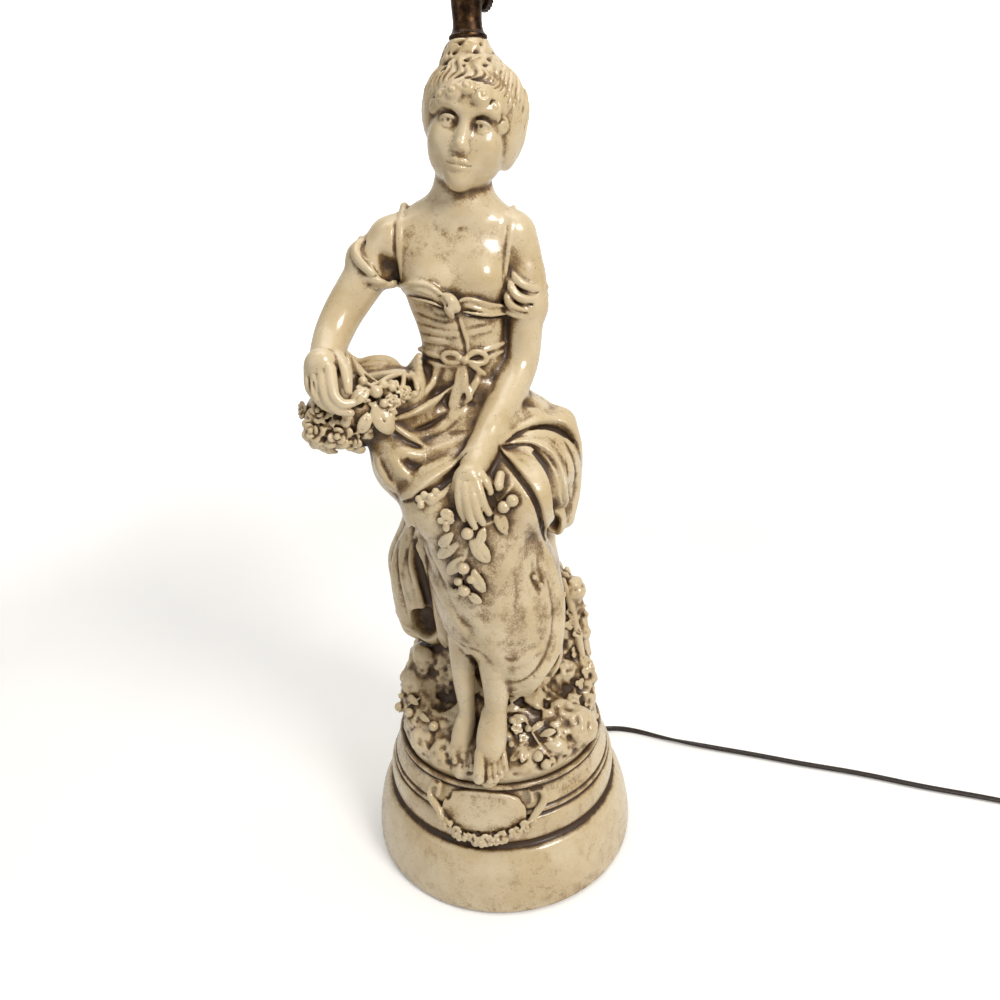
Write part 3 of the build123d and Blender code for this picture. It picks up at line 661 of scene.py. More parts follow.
def lumps(x, y, z, scale, shift=0.0):
    """Smooth noise between about -1 and 1, with bumps of that scale."""
    out = 0
    coords = []
    for c in (x, y, z):
        q = c / scale + shift
        i = np.floor(q).astype(np.int32)
        t = (q - i).astype(np.float32)
        u = t * t * (3 - 2 * t)
        coords.append(((i & 31, 1 - u), ((i + 1) & 31, u)))
    for xi, wu in coords[0]:
        for yi, wv in coords[1]:
            for zi, ww in coords[2]:
                out = out + random_lattice[xi, yi, zi] * (wu * wv * ww)
    return out


def roughen(span, layers, mask):
    """Press noise into the surface in a box, where the mask says; layers are (depth, scale)."""
    def shape(x, y, z, here):
        out = np.zeros_like(here)
        near = np.abs(here) < 5
        if not near.any():
            return out
        gx, gy, gz = [np.broadcast_to(c, here.shape)[near] for c in (x, y, z)]
        total = sum(depth * lumps(gx, gy, gz, scale, 3.7 * i)
                    for i, (depth, scale) in enumerate(layers))
        out[near] = total * mask(gx, gy, gz)
        return out

    keep_step("press", span, shape, reach=0)


def soft_edge(value, start, end):
    """0 before start, 1 after end, smooth between."""
    t = np.clip((value - start) / (end - start), 0, 1)
    return t * t * (3 - 2 * t)


# ---------------------------------------------------------------- drawing on the surface
normal_step = 1.5
ray_near, ray_end, ray_share, ray_least = 0.05, 760, 0.6, 0.25


def on_surface(px, py, sink=0.0):
    """The place in millimetres where the camera's ray through a place in the picture meets
    the coarse figure, or passes nearest to it, and the outward direction there."""
    way = ray_way(px, py)
    t = (-coarse_reach_y - camera_place[1]) / way[1]
    best, best_t = 1e9, t
    while t < ray_end:
        d = float(coarse.at(camera_place + way * t))
        if d < best:
            best, best_t = d, t
        if d < ray_near:
            break
        t += max(ray_share * d, ray_least)
    place = camera_place + way * best_t
    n = coarse.outward(place, normal_step)
    return place - n * sink, n


def drawn(points, sink=0.0):
    """Places on the surface, or so far under it, along a line drawn in the picture."""
    out = np.array([on_surface(x, y, sink)[0] for x, y in smooth_path(points, 3)])
    # A line that crosses a gap would jump in depth: even it out.
    for _ in range(2):
        out[1:-1] = 0.25 * out[:-2] + 0.5 * out[1:-1] + 0.25 * out[2:]
    return out


def tapering(count, ends, blunt=0.0, power=0.7):
    """Shares that rise from ends to 1 in the middle of a line and fall again."""
    t = np.clip(np.linspace(0, 1, count), blunt, 1 - blunt)
    return ends + (1 - ends) * np.sin(np.pi * t) ** power


def pressed(points, width, height, ends, profile):
    """Press the surface along a drawn line by height times a profile of the distance over the
    width. profile gets the distance across, with a sign to tell the sides, and the true
    distance."""
    p = drawn(points)
    shares = tapering(len(p), ends)
    far = 3.2 * width
    up_all = coarse.outward(p, normal_step)

    def shape(x, y, z, here):
        out = np.zeros(here.shape, np.float32)
        best = np.full(here.shape, 1e9, np.float32)
        for a, b, up, sa, sb in zip(p, p[1:], up_all, shares, shares[1:]):
            found = near_line(x, y, z, a, b, far)
            if found is None:
                continue
            part, dx, dy, dz, t = found
            across = np.cross(up, b - a)
            across /= max(np.linalg.norm(across), 1e-6)
            d = np.sqrt(dx * dx + dy * dy + dz * dz)
            side = dx * across[0] + dy * across[1] + dz * across[2]
            share = np.maximum(sa + (sb - sa) * t, 0.05)
            w = width * (0.35 + 0.65 * share)
            new = height * share * profile(side / w, d / w)
            near = d < best[part]
            out[part] = np.where(near, new, out[part])
            best[part] = np.where(near, d, best[part])
        return -out

    keep_step("press", (p.min(0) - far, p.max(0) + far), shape, reach=0)


def fold(points, width, height, ends=0.0):
    """A soft fold of cloth, raised, or sunk if the height is below zero."""
    pressed(points, width, height, ends, lambda side, d: np.exp(-d * d))


def crease(points, width, depth, ends=0.0):
    """A sharp crease pressed in, with soft sides."""
    pressed(points, width, -depth, ends, lambda side, d: np.exp(-1.5 * np.sqrt(d * d + 0.02)))


def sharp_fold(points, width, height):
    """A raised fold with a crisp crest."""
    pressed(points, width, height, 0.0, lambda side, d: np.exp(-1.4 * np.sqrt(d * d + 0.03)))


def flap(points, width, height, ends):
    """The edge of a layer of cloth: raised to the left of the way the line is drawn, fading
    back into the cloth over the width, and dropping off sharply to the right."""
    edge = 0.16

    def profile(side, d):
        rise = soft_edge(side, -edge, edge)
        return rise * np.exp(-(d * 0.8) ** 2) - 0.45 * (1 - rise) * np.exp(-(d * 2.2) ** 2)

    pressed(points, width, height, ends, profile)


def ridge(points, width, proud, k=2.0, ends=0.35):
    """A raised fold along a line drawn in the picture: its half width and height in mm."""
    path = drawn(points, sink=width - proud)
    rope(path, width * tapering(len(path), ends, 0.02, 0.6), k, per_span=2)


def valley(points, width, deep, k=2.0, ends=0.35):
    """A hollow fold along a line drawn in the picture."""
    path = drawn(points, sink=deep - width)
    rope(path, width * tapering(len(path), ends, 0.02, 0.6), k, "cut", per_span=2)


# ================================================================ the figure's main masses
seat_z = 620.0
deck_z = 104.0
left_end = -125.4

# Rock mound and stump
column([
    (104, 0, 0, 83, 83), (112, 0, 0, 84, 84), (124, 0, 2, 82, 80), (138, -2, 8, 77, 70),
    (156, -3, 14, 70, 58), (176, 2, 18, 62, 50), (200, 6, 20, 57, 45), (230, 8, 20, 50, 42),
    (300, 2, 18, 44, 36),
])
egg((-62, -2, 138), (22, 30, 30), k=8)
egg((-58, 6, 168), (17, 24, 14), k=6)
egg((62, 6, 140), (20, 30, 34), k=8)
egg((58, 12, 186), (17, 22, 30), k=8)
egg((66, 8, 212), (10, 14, 20), k=6)
egg((-8, -46, 118), (44, 32, 15), k=10)
egg((38, -38, 122), (34, 32, 18), k=10)
egg((0, 48, 150), (50, 24, 44), k=12)


def rocky(x, y, z):
    """How rough the rock is: smooth at its round foot, and less rough low down at the back."""
    open_rock = soft_edge(x * 0.4 - y + z, 110, 170)
    return soft_edge(z, deck_z + 6, deck_z + 18) * (0.35 + 0.65 * open_rock)


roughen(((-100, -100, 104), (100, 100, 240)), ((5.0, 21.0), (3.2, 10.0), (1.3, 4.6)), rocky)

# Rear drape, hanging over the back of the stump
column([
    (186, -24, 14, 44, 28), (196, -20, 14, 60, 36), (210, -19, 14, 64, 40),
    (235, -18, 13, 66, 42), (262, -17, 11, 66, 43), (300, -9, 6, 58, 43), (345, -6, -2, 60, 44),
], k=3, folds=((9, 1.6, 0.4, 0.004), (5, 1.2, 1.1, -0.006)))

# Front skirt over the knees
column([
    (180, 15, -61, 13, 13), (186, 18, -58, 21, 20), (196, 19, -55, 29, 27),
    (208, 15, -51, 35, 34), (228, 7, -46, 46, 41), (252, 3, -43, 49.5, 45),
    (279, 0, -42, 47, 47), (300, -6, -42, 45, 49), (326, -8, -40, 48, 50), (348, -8, -36, 50, 48),
], k=6)

# Hips and lap
column([
    (312, -6, -16, 56, 54), (326, -6, -17, 65, 60), (342, -6, -17, 71, 60),
    (356, -7, -14, 72, 55), (370, -8, -11, 68, 46), (386, -9, -6, 56, 35),
    (398, -12, -4, 43, 28), (408, -13, -5, 36, 24),
], k=6)
egg((-34, -58, 334), (28, 30, 27), k=10)
egg((24, -58, 338), (29, 30, 26), k=10)

# Bodice, waist and chest
column([
    (392, -12, -4, 44, 28), (404, -13, -5, 38, 25), (420, -14, -7, 31, 21), (434, -14, -8.5, 29, 19),
    (448, -15, -9, 30.5, 19.5), (462, -16, -8, 34, 20.5), (478, -15.5, -7, 38, 21),
    (492, -15, -4.5, 42, 20.5), (504, -15, -2, 43, 18), (514, -14, 0, 36, 16.5), (524, -12, 0, 24, 16),
], k=4)
egg((-32, -17, 478), (14.5, 12.5, 14), k=9)
egg((0, -18, 477), (14.5, 12.5, 14), k=9)
# Neck and shoulders
bone((-7, 3, 556), (-9, 1, 520), 17.5, 21.5, k=5)
bone((-14, 4, 522), (-56, 2, 505), 15, 14, k=10)
bone((-6, 4, 522), (20, 2, 507), 15, 14, k=10)

# Viewer's left arm, held out over the gathered flowers
left_arm = [(-60, 1, 502), (-72, -1, 489), (-84, -5, 474), (-95, -11, 459), (-102, -20, 446),
            (-105, -31, 436), (-106, -42, 428), (-105, -53, 420)]
rope(left_arm, [15.5, 15.5, 14.5, 13.6, 12.8, 11.8, 10.6, 9.4], k=7, per_span=5)
# Viewer's right arm, down across the lap
right_arm = [(26, 1, 503), (29, 0, 488), (31, -2, 466), (30, -5, 440), (26, -9, 416),
             (14, -28, 396), (2, -50, 380), (-10, -70, 362)]
rope(right_arm, [14.5, 15, 14, 13, 12.6, 12.2, 10.4, 8.0], k=7, per_span=4)

# Gathered apron, heavy with flowers
egg((-62, -26, 398), (28, 26, 22), k=10)
egg((-90, -36, 396), (30, 25, 23), k=10)
egg((-108, -44, 392), (15, 20, 17), k=8)
# Cloth that falls from the bundle to the lap
egg((-62, -38, 360), (20, 24, 26), k=12)
# Hanging side panel on the viewer's right
rope([(54, -12, 372), (58, -14, 345), (57, -16, 320), (55, -18, 300)], [12, 12, 10.5, 9], k=8)
rope([(50, -22, 340), (50, -25, 318), (48, -28, 298)], [8, 7.5, 6.5], k=5)

# Head
head_place = np.array([0.0, -5.0, 573.0])
head_tilt, head_yaw, head_nod = map(math.radians, (13.0, -8.0, 4.0))


def axis_turn(axis, angle):
    c, s = math.cos(angle), math.sin(angle)
    rows = {
        "x": [[1, 0, 0], [0, c, -s], [0, s, c]],
        "y": [[c, 0, s], [0, 1, 0], [-s, 0, c]],
        "z": [[c, -s, 0], [s, c, 0], [0, 0, 1]],
    }
    return np.array(rows[axis], float)


head_turn = axis_turn("z", head_yaw) @ axis_turn("y", head_tilt) @ axis_turn("x", head_nod)


def on_head(*p):
    """A place given from the middle of the head: x to the viewer's right, y back, z up."""
    return head_place + head_turn @ np.asarray(p, float)


def head_egg(centre, radii, k=0.0, kind="add", tip=0.0):
    egg(on_head(*centre), radii, head_turn @ axis_turn("y", math.radians(tip)), k, kind)


def head_rope(points, radii, k=0.0, kind="add", **more):
    rope([on_head(*p) for p in points], radii, k, kind, **more)


head_egg((0, 3, 9), (27, 30, 28))
head_egg((0, -8, -8), (25.5, 23.5, 29), k=5)
head_egg((0, -19, -29), (11, 11, 9.5), k=8)
for side in (-1, 1):
    head_egg((10.2 * side, -10, -19), (12, 15.5, 13.5), k=7)
# Masses of hair
head_egg((0, 6, 13), (31.5, 31, 26), k=2)
head_egg((-24, 4, 4), (9, 19, 20), k=5)
head_egg((25, 4, 0), (9, 18, 24), k=5)
head_egg((0, 22, -6), (24, 17, 24), k=6)
column([(592, 2, -1, 25, 24), (600, 2, 0, 22, 21), (607, 1, 0, 18, 17.5), (614, 0, 0, 14.5, 14.5),
        (620, 0, 0, 12.6, 12.6)], k=4)

# The figure so far, on which the rest is drawn
coarse_reach_y = 125.0
coarse = worked_clay((-140, -coarse_reach_y, 96), (120, 100, 626), 2.0)


# ================================================================ face and hair
def mirrored(points):
    return [(-x, y, z) for x, y, z in points]


lid_stops = 9


def lid_points(centre, r, wide, ends_z, middle_z):
    """Points over the ball of an eye, half as wide as wide, from the height of its ends to
    that of its middle."""
    out = []
    for i in range(lid_stops):
        a = math.pi * (i / (lid_stops - 1) - 0.5)
        x, z = wide * math.sin(a), ends_z + (middle_z - ends_z) * math.cos(a)
        y = -math.sqrt(max(r * r - x * x - z * z, 0.4))
        out.append((centre[0] + x, centre[1] + y, centre[2] + z))
    return out


for side in (-1, 1):
    head_egg((12.5 * side, -21.8, -11.5), (8.6, 7.2, 8.4), k=8)
head_egg((0, -26, -21), (10.5, 6, 9), k=7)
head_egg((0, -16, 12), (20, 14.2, 13), k=8)
for side in (-1, 1):
    eye = (10.4 * side, -23.9, -0.4)
    head_egg((eye[0], -34.0, 0.6), (8.4, 6.2, 5.4), k=5, kind="cut")
    ball(on_head(*eye), 5.2, k=0.8)
    upper_lid = lid_points(eye, 5.7, 5.4, 0.0, 2.6)
    head_rope(upper_lid, [0.5, .9, 1.1, 1.2, 1.25, 1.2, 1.1, .9, .5], k=0.9, per_span=2)
    lower_lid = lid_points(eye, 5.4, 5.0, -0.3, -3.0)
    head_rope(lower_lid, [0.4, .6, .8, .9, .9, .9, .8, .6, .4], k=1.1, per_span=2)
    head_rope([(x, y + 0.5, z + 2.0) for x, y, z in upper_lid[1:-1]], 0.55, k=1.2, kind="cut",
              per_span=2)
    ball(on_head(eye[0] - 0.3, eye[1] - 5.35, eye[2] + 0.3), 1.15, k=0.5, kind="cut")
    brow = [(5.0, -29.6, 6.8), (9.5, -29.6, 8.8), (14.5, -27.6, 8.6), (19, -23.6, 6.0)]
    head_rope([(x * side, y, z) for x, y, z in brow], [1.4, 1.7, 1.5, 0.8], k=3.5)
head_rope([(0, -28.4, 5), (0, -29.7, -1), (0, -31.8, -7), (0, -33.6, -11.6)],
          [2.6, 2.3, 2.5, 2.8], k=5)
ball(on_head(0, -34.3, -12.6), 2.5, k=2.5)
for side in (-1, 1):
    ball(on_head(3.1 * side, -31.9, -13.8), 1.9, k=1.6)
    ball(on_head(1.9 * side, -34.9, -16.6), 0.85, k=0.6, kind="cut")
upper_lip = [(-7.6, -30.4, -23.2), (-4.4, -32.3, -22.0), (-1.6, -33.4, -21.3), (0, -33.3, -21.8)]
head_rope(upper_lip + mirrored(upper_lip[:-1])[::-1], [0.5, 1.3, 1.7, 1.5, 1.7, 1.3, 0.5], k=1.5)
lower_lip = [(-6.2, -30.9, -24.5), (-3.2, -32.4, -25.5), (0, -33.1, -25.9)]
head_rope(lower_lip + mirrored(lower_lip[:-1])[::-1], [0.7, 1.8, 2.2, 1.8, 0.7], k=1.5)
mouth_line = [(-8.0, -31.1, -23.2), (-4.2, -33.7, -23.6), (0, -35.0, -23.5)]
head_rope(mouth_line + mirrored(mouth_line[:-1])[::-1], [0.35, 0.6, 0.6, 0.6, 0.35], k=0.7,
          kind="cut")
head_rope([(-4, -34.4, -29.0), (4, -34.4, -29.0)], 2.0, k=3.5, kind="cut")
ball(on_head(0, -26.2, -32.4), 6.3, k=6)

# Hair: wavy locks combed up all round to the knot on top, from the parting over the brow
scalp_middle = on_head(0, 3, 6)


def scalp(azimuth, rise, sink):
    """A place on the hair in the direction azimuth degrees to the viewer's right of the front,
    and rise degrees up, both from the middle of the head."""
    a, e = math.radians(azimuth), math.radians(rise)
    way = head_turn @ np.array([math.sin(a) * math.cos(e), -math.cos(a) * math.cos(e), math.sin(e)])
    near, far = 12.0, 55.0
    for _ in range(16):
        middle = (near + far) / 2
        if coarse.at(scalp_middle + way * middle) < 0:
            near = middle
        else:
            far = middle
    return scalp_middle + way * (near - sink)


def lock_path(azimuth, high, sink):
    """The way one lock runs from the hairline to the height high, in degrees."""
    low = float(np.interp(abs(azimuth), (0, 30, 60, 80, 110, 180), (30, 27, 6, -22, -34, -40)))
    parted = soft_edge(azimuth, -40, 4) * 2 - 1
    places = []
    for rise in np.linspace(low, high, 10):
        t = (rise - low) / (78 - low)
        sweep = parted * 26 * math.sin(math.pi * t) * math.exp(-(azimuth / 80) ** 2)
        sway = 6.0 * math.sin(2 * math.pi * 1.5 * t + 0.04 * azimuth)
        sway /= max(math.cos(math.radians(rise)), 0.4)
        places.append(scalp(azimuth + sweep + sway, rise, sink))
    return places


lock_count = 26
for i in range(lock_count):
    azimuth = -180 + 360 * (i + 0.5) / lock_count
    radii = 3.9 * np.array([0.6, 0.85, 1, 1, 1, 1, 0.95, 0.85, 0.7, 0.55])
    rope(lock_path(azimuth, (78, 60, 70)[i % 3], 2.3), radii, k=2.0, per_span=2)
for i in range(2 * lock_count):
    azimuth = -180 + 180 * (i + 0.25) / lock_count
    radii = 0.85 * np.array([0.3, 0.7, 1, 1, 0.9, 1, 1, 0.8, 0.6, 0.3])
    rope(lock_path(azimuth, (72, 48, 60, 54)[i % 4], -1.2), radii, k=1.3, kind="cut", per_span=2)


def curl(centre, r, start, turns):
    """A low round curl lying on the head, with a groove winding into it."""
    c = np.array(centre, float)
    away = c / np.linalg.norm(c)
    side = np.cross((0, 0, 1.0), away)
    side /= np.linalg.norm(side)
    up = np.cross(away, side)
    turn = head_turn @ np.column_stack([side, up, away])
    egg(on_head(*(c - away * 0.3 * r)), (1.25 * r, 1.25 * r, 0.8 * r), turn, k=1.8)
    points = []
    for t in np.linspace(0, 1, 11):
        a = start + turns * 2 * math.pi * t
        q = r * (1.05 - 0.85 * t)
        high = 0.8 * r * math.sqrt(1 - (q / (1.25 * r)) ** 2) - 0.3 * r
        points.append(tuple(c + side * q * math.cos(a) + up * q * math.sin(a) + away * high))
    head_rope(points, [0.4, 0.7] + [0.8] * 7 + [0.6, 0.4], k=0.7, kind="cut", per_span=2)


# Short curls on the forehead and by the temples, and two pits between them
curls = [
    ((-9.5, -29.6, 16.4), 4.6, 1.2, 1.19), ((-17.0, -25.8, 12.6), 4.4, 0.9, 1.12),
    ((-22.6, -19.6, 6.6), 4.2, 0.7, 1.12), ((-1.6, -30.4, 20.0), 3.8, 2.0, 1.00),
    ((8.0, -29.6, 16.6), 4.8, 3.4, -1.12), ((16.2, -25.8, 11.2), 4.2, 3.2, -1.12),
    ((22.4, -19.4, 2.6), 4.0, 3.0, -1.12),
]
for centre, r, start, turns in curls:
    curl(centre, r, start, turns)
for pit in ((9.6, -34.0, 15.4), (-4.0, -32.6, 23.0)):
    ball(on_head(*pit), 1.6, k=0.8, kind="cut")

# The knot of hair under the neck, in layers with slanting grooves
ring_stops, groove_slant = 24, 0.20
for z, x, r, thick, grooves, phase in (
    (599.5, 2.0, 19.5, 4.4, 11, 0.3), (606.5, 1.0, 15.8, 3.9, 9, 1.1),
    (612.6, 0.3, 12.4, 3.4, 7, 0.6), (617.2, 0, 10.4, 2.6, 6, 0.2),
):
    rope([(x + r * math.cos(a), r * math.sin(a), z + 0.7 * math.sin(2 * a + phase))
          for a in np.linspace(0, 2 * math.pi, ring_stops + 1)], thick, k=2.0, per_span=2)
    outer, rise = r + thick * 0.86, thick * 0.75
    for i in range(grooves):
        a = 2 * math.pi * i / grooves + phase
        rope([(x + q * math.cos(b), q * math.sin(b), up)
              for q, b, up in ((outer, a - groove_slant, z - rise), (outer + 0.9, a, z),
                               (outer, a + groove_slant, z + rise))],
             [0.4, 0.7, 0.4], k=2.2, kind="cut", per_span=2)


# ================================================================ drawing helpers
def at_depth(px, py, y):
    """The place seen at a point of the picture, on the upright plane at that depth."""
    way = ray_way(px, py)
    return camera_place + way * ((y - camera_place[1]) / way[1])


def roll(points, radii, k=1.5, kind="add", per_span=4):
    """A round fold through (px, py, y) places."""
    rope([at_depth(*p) for p in points], radii, k, kind, per_span=per_span)


def basis(n):
    """Two directions square to n."""
    n = np.asarray(n, float)
    n = n / np.linalg.norm(n)
    side = np.cross((0, 0, 1.0), n) if abs(n[2]) < 0.9 else np.cross((1.0, 0, 0), n)
    side /= np.linalg.norm(side)
    return side, np.cross(n, side), n


def petal(centre, n, out, size, lean, k=0.3):
    """One cupped petal: n is the flower's facing, out the way it points, lean in degrees."""
    c, s = math.cos(math.radians(lean)), math.sin(math.radians(lean))
    facing = n * c - out * s
    long_way = out * c + n * s
    turn = np.column_stack([np.cross(facing, long_way), long_way, facing])
    egg(centre, (size * 0.66, size * 0.78, size * 0.30), turn, k=k)
    egg(centre + facing * size * 0.46, (size * 0.42, size * 0.52, size * 0.26), turn, k=0.6,
        kind="cut")


def rose(px, py, size, lift, turn):
    """A full rose that faces out of the surface under a point of the picture."""
    c, n = on_surface(px, py, -lift)
    side, up, n = basis(n * 0.8 + np.array([-0.1, -0.6, 0.35]))
    ball(c, size * 0.6, k=0.8)
    for ring, count, radius, lean, scale in ((0, 5, 0.62, 20, 0.66), (1, 3, 0.34, 48, 0.56)):
        for i in range(count):
            a = turn + 2 * math.pi * (i + 0.5 * ring) / count
            out = side * math.cos(a) + up * math.sin(a)
            petal(c + out * size * radius + n * size * (0.18 + 0.26 * ring), n, out,
                  size * scale, lean)
    ball(c + n * size * 0.66, size * 0.24, k=0.3)


def blossom_at(c, n, size, petals, turn):
    """A small open flower with a round middle."""
    side, up, n = basis(n)
    for i in range(petals):
        a = turn + 2 * math.pi * i / petals
        out = side * math.cos(a) + up * math.sin(a)
        petal(c + out * size * 0.52 + n * size * 0.12, n, out, size * 0.66, 14)
    ball(c + n * size * 0.26, size * 0.28, k=0.3)


def blossom(px, py, size, petals, turn, lift):
    blossom_at(*on_surface(px, py, -lift), size, petals, turn)


def bud(px, py, size, lift=0.0, k=0.6):
    """A round bud, or a berry, half out of the surface."""
    c, n = on_surface(px, py, -lift - 0.45 * size)
    ball(c, size, k)
    return c, n


def leaf(px0, py0, px1, py1, width, proud):
    """A pointed leaf from its stalk to its tip, with a middle rib."""
    a, na = on_surface(px0, py0, -proud * 0.5)
    b, nb = on_surface(px1, py1, -proud * 0.8)
    n = na + nb
    n /= max(np.linalg.norm(n), 1e-6)
    mid = (a + b) / 2 + n * proud * 0.8
    rope([a, (a + mid) / 2, mid, (mid + b) / 2, b],
         [width * 0.35, width * 0.82, width, width * 0.75, width * 0.12], k=0.7, flat=n, thin=0.36,
         per_span=3)
    top = n * width * 0.36
    rope([a + top, mid + top, b + top * 0.2], [0.5, 0.65, 0.3], k=0.5, kind="cut", per_span=3)
    along = (b - a) / max(np.linalg.norm(b - a), 1e-6)
    across = np.cross(n, along)
    for share in (0.3, 0.5, 0.7):
        foot = a + (b - a) * share + top * 0.95 + n * proud * 0.8 * math.sin(math.pi * share)
        for way in (-1, 1):
            rope([foot, foot + across * way * width * 0.7 + along * width * 0.5 - top * 0.4],
                 [0.35, 0.15], k=0.5, kind="cut", smooth=False)


def stem(points, r, proud):
    """A round stalk that stands proud of the surface by so much."""
    rope(drawn(points, sink=r - proud), r, k=0.5, per_span=2)


# ================================================================ bodice, straps and sleeves
neckline_left = [(404, 288), (413, 287), (424, 288), (435, 293), (445, 302)]
neckline_right = [(458, 306), (468, 303), (480, 307), (493, 311), (507, 311)]
neckline_lip_left = [(403, 285), (414, 283), (427, 284), (438, 290), (449, 303)]
neckline_lip_right = [(454, 306), (464, 298), (476, 299), (490, 304), (507, 305)]
neckline_crease_left = [(409, 296), (420, 299), (432, 302), (443, 308)]
neckline_crease_right = [(462, 313), (474, 315), (488, 317), (503, 315)]
ridge(neckline_left, 6.0, 3.6, k=2, ends=0.7)
ridge(neckline_right, 5.0, 3.2, k=2, ends=0.7)
ridge(neckline_lip_left, 1.7, 4.6, k=0.8, ends=0.6)
ridge(neckline_lip_right, 1.5, 3.6, k=0.8, ends=0.6)
for line in ([(414, 291), (424, 291), (434, 297)], [(466, 307), (478, 310), (490, 314)],
             neckline_crease_left, neckline_crease_right):
    ridge([(x, y - 2.0) for x, y in line], 1.1, 4.4, k=1.0)
valley(neckline_crease_left, 1.5, 1.2, k=1.2)
valley(neckline_crease_right, 1.4, 1.2, k=1.2)
roll([(444, 297, -30), (450, 301, -33), (456, 308, -32)], [3.4, 4.6, 3.4], k=1.0)
roll([(452, 300, -33), (449, 308, -34), (452, 317, -31)], [2.4, 3.4, 1.8], k=0.8)
roll([(440, 296, -33), (446, 304, -36), (451, 312, -34)], [0.8, 1.1, 0.8], k=0.8, kind="cut")
ridge([(403, 204), (400, 222), (399, 245), (400, 266), (403, 285)], 3.2, 1.3, k=0.8, ends=0.9)
valley([(394.5, 222), (394, 245), (395, 266), (397, 282)], 1.2, 0.8, k=1.2)
ridge([(514, 206), (511, 225), (508, 252), (505, 282), (505, 303)], 1.8, 1.0, k=0.7, ends=0.9)
valley([(507.5, 226), (504.5, 252), (502, 282)], 0.9, 0.5, k=1.0)

valley([(457, 318), (460, 330), (464, 342), (465, 352)], 1.2, 1.0, k=1.0, ends=0.8)
ridge([(460, 320), (463.5, 331), (467.5, 343), (468, 352)], 1.2, 0.9, k=0.8, ends=0.8)
for line in (
    [(411, 309), (424, 316), (440, 322), (455, 322)],
    [(414, 320), (428, 326), (444, 330), (459, 330)],
    [(418, 331), (432, 336), (447, 338), (462, 338)], [(421, 341), (434, 345), (450, 346)],
    [(466, 328), (478, 326), (492, 324)], [(468, 338), (480, 335), (494, 331)],
    [(432, 312), (440, 316), (450, 316)], [(472, 318), (486, 321), (498, 320)],
):
    crease(line, 2.4, 1.3)
    fold([(x, y - 3.8) for x, y in line], 2.6, 0.8)
# Waistband and sash
ridge([(419, 349), (431, 354), (446, 358), (462, 358), (478, 353), (494, 347), (504, 343)],
      2.2, 1.5, k=1.0, ends=0.8)
ridge([(417, 358), (430, 363), (445, 366), (462, 366), (478, 361), (494, 355), (503, 351)],
      1.5, 1.2, k=1.0, ends=0.8)
valley([(418, 354), (431, 359), (446, 362), (462, 362), (478, 357), (494, 351)], 1.1, 0.7, k=1.0)
# Bow: two loops, a knot and tails
for loop in ([(463, 359), (455, 353), (446, 353), (443, 358), (450, 363), (462, 361)],
             [(466, 358), (474, 351), (483, 353), (487, 360), (479, 364), (468, 361)]):
    path = drawn(loop, sink=-0.6)
    rope(path, [1.5] + [2.1] * (len(path) - 2) + [1.5], k=0.6, per_span=1)
ridge([(468, 362), (476, 368), (484, 374)], 2.4, 2.4, k=0.7, ends=0.6)
ridge([(464, 363), (464, 376), (466, 388), (470, 399)], 2.9, 2.4, k=0.8, ends=0.6)
valley([(464, 367), (465, 379), (468, 393)], 0.7, -1.4, k=0.6)
ridge([(461, 363), (458, 376), (455, 390), (451, 404)], 2.4, 1.9, k=0.8, ends=0.5)
bud(465, 360, 2.9, lift=0.6)
bud(459, 358, 2.2, lift=0.4)

# Viewer's left sleeve: a rolled band that stands off the arm
roll([(364, 246, -1), (359, 256, -3), (359.5, 266, -6), (365, 273, -9)], [6.0, 8.6, 9.0, 7.0], k=3)
roll([(365, 239.5, -3), (358, 245, -8), (356.5, 253, -12), (360.5, 261, -16), (367, 268, -18.5),
      (373, 274, -19), (379, 279, -18)], [1.6, 3.0, 3.9, 4.0, 3.6, 2.8, 1.4], k=1.2)
roll([(354, 268, -8), (362, 276, -15), (371, 280, -18), (381, 281.5, -17), (393, 281, -10)],
     [2.4, 2.2, 2.2, 2.4, 1.8], k=2.0)
roll([(364, 281, -12), (376, 285, -15), (388, 285, -12), (397, 282, -7)], [1.4, 2.0, 2.2, 1.6], k=2.0)
roll([(365.5, 242, -8), (362, 248, -13), (363.5, 256, -17), (369, 263.5, -19), (375, 270, -20)],
     [0.8, 1.3, 1.5, 1.4, 0.9], k=0.8, kind="cut")
roll([(362, 240, 6), (360, 250, 13), (366, 264, 16), (378, 275, 15), (392, 281, 6)],
     [3.0, 4.4, 4.8, 4.4, 3.0], k=1.8)
roll([(366, 272, -17), (376, 276.5, -20), (386, 278, -17)], [0.5, 0.9, 0.6], k=0.8, kind="cut")
roll([(380, 280, -1), (390, 279, 0), (400, 277, 0)], [5.0, 6.5, 5.0], k=3)
roll([(382, 258, -15), (387, 266, -14), (390, 275, -13)], [2.6, 5.2, 3.6], k=5, kind="cut")

# Viewer's right sleeve: folds round the upper arm
bone((30, -1, 476), (31.5, -2.5, 457), 15.8, 16.4, k=4)
right_sleeve = [
    ([(511, 270, -14), (516, 279, -18), (526, 286, -18), (538, 288, -12), (545, 285, -3)], 2.9),
    ([(508, 276, -16), (511, 288, -19.5), (519, 297, -20), (532, 300, -16), (544, 296, -5)], 3.2),
    ([(506, 284, -16), (507, 297, -19.5), (513, 307, -20), (526, 311, -17), (540, 308, -9),
      (545, 303, -1)], 3.0),
    ([(504, 298, -14), (506, 309, -17), (514, 315, -18), (527, 317, -15), (540, 314, -7)], 1.9),
    ([(514, 283, 12), (528, 296, 16), (541, 300, 10)], 3.2),
    ([(508, 300, 10), (520, 309, 15), (534, 311, 13)], 3.0),
]
for line, r in right_sleeve:
    roll(line, [0.5 * r] + [r] * (len(line) - 2) + [0.6 * r], k=1.0)
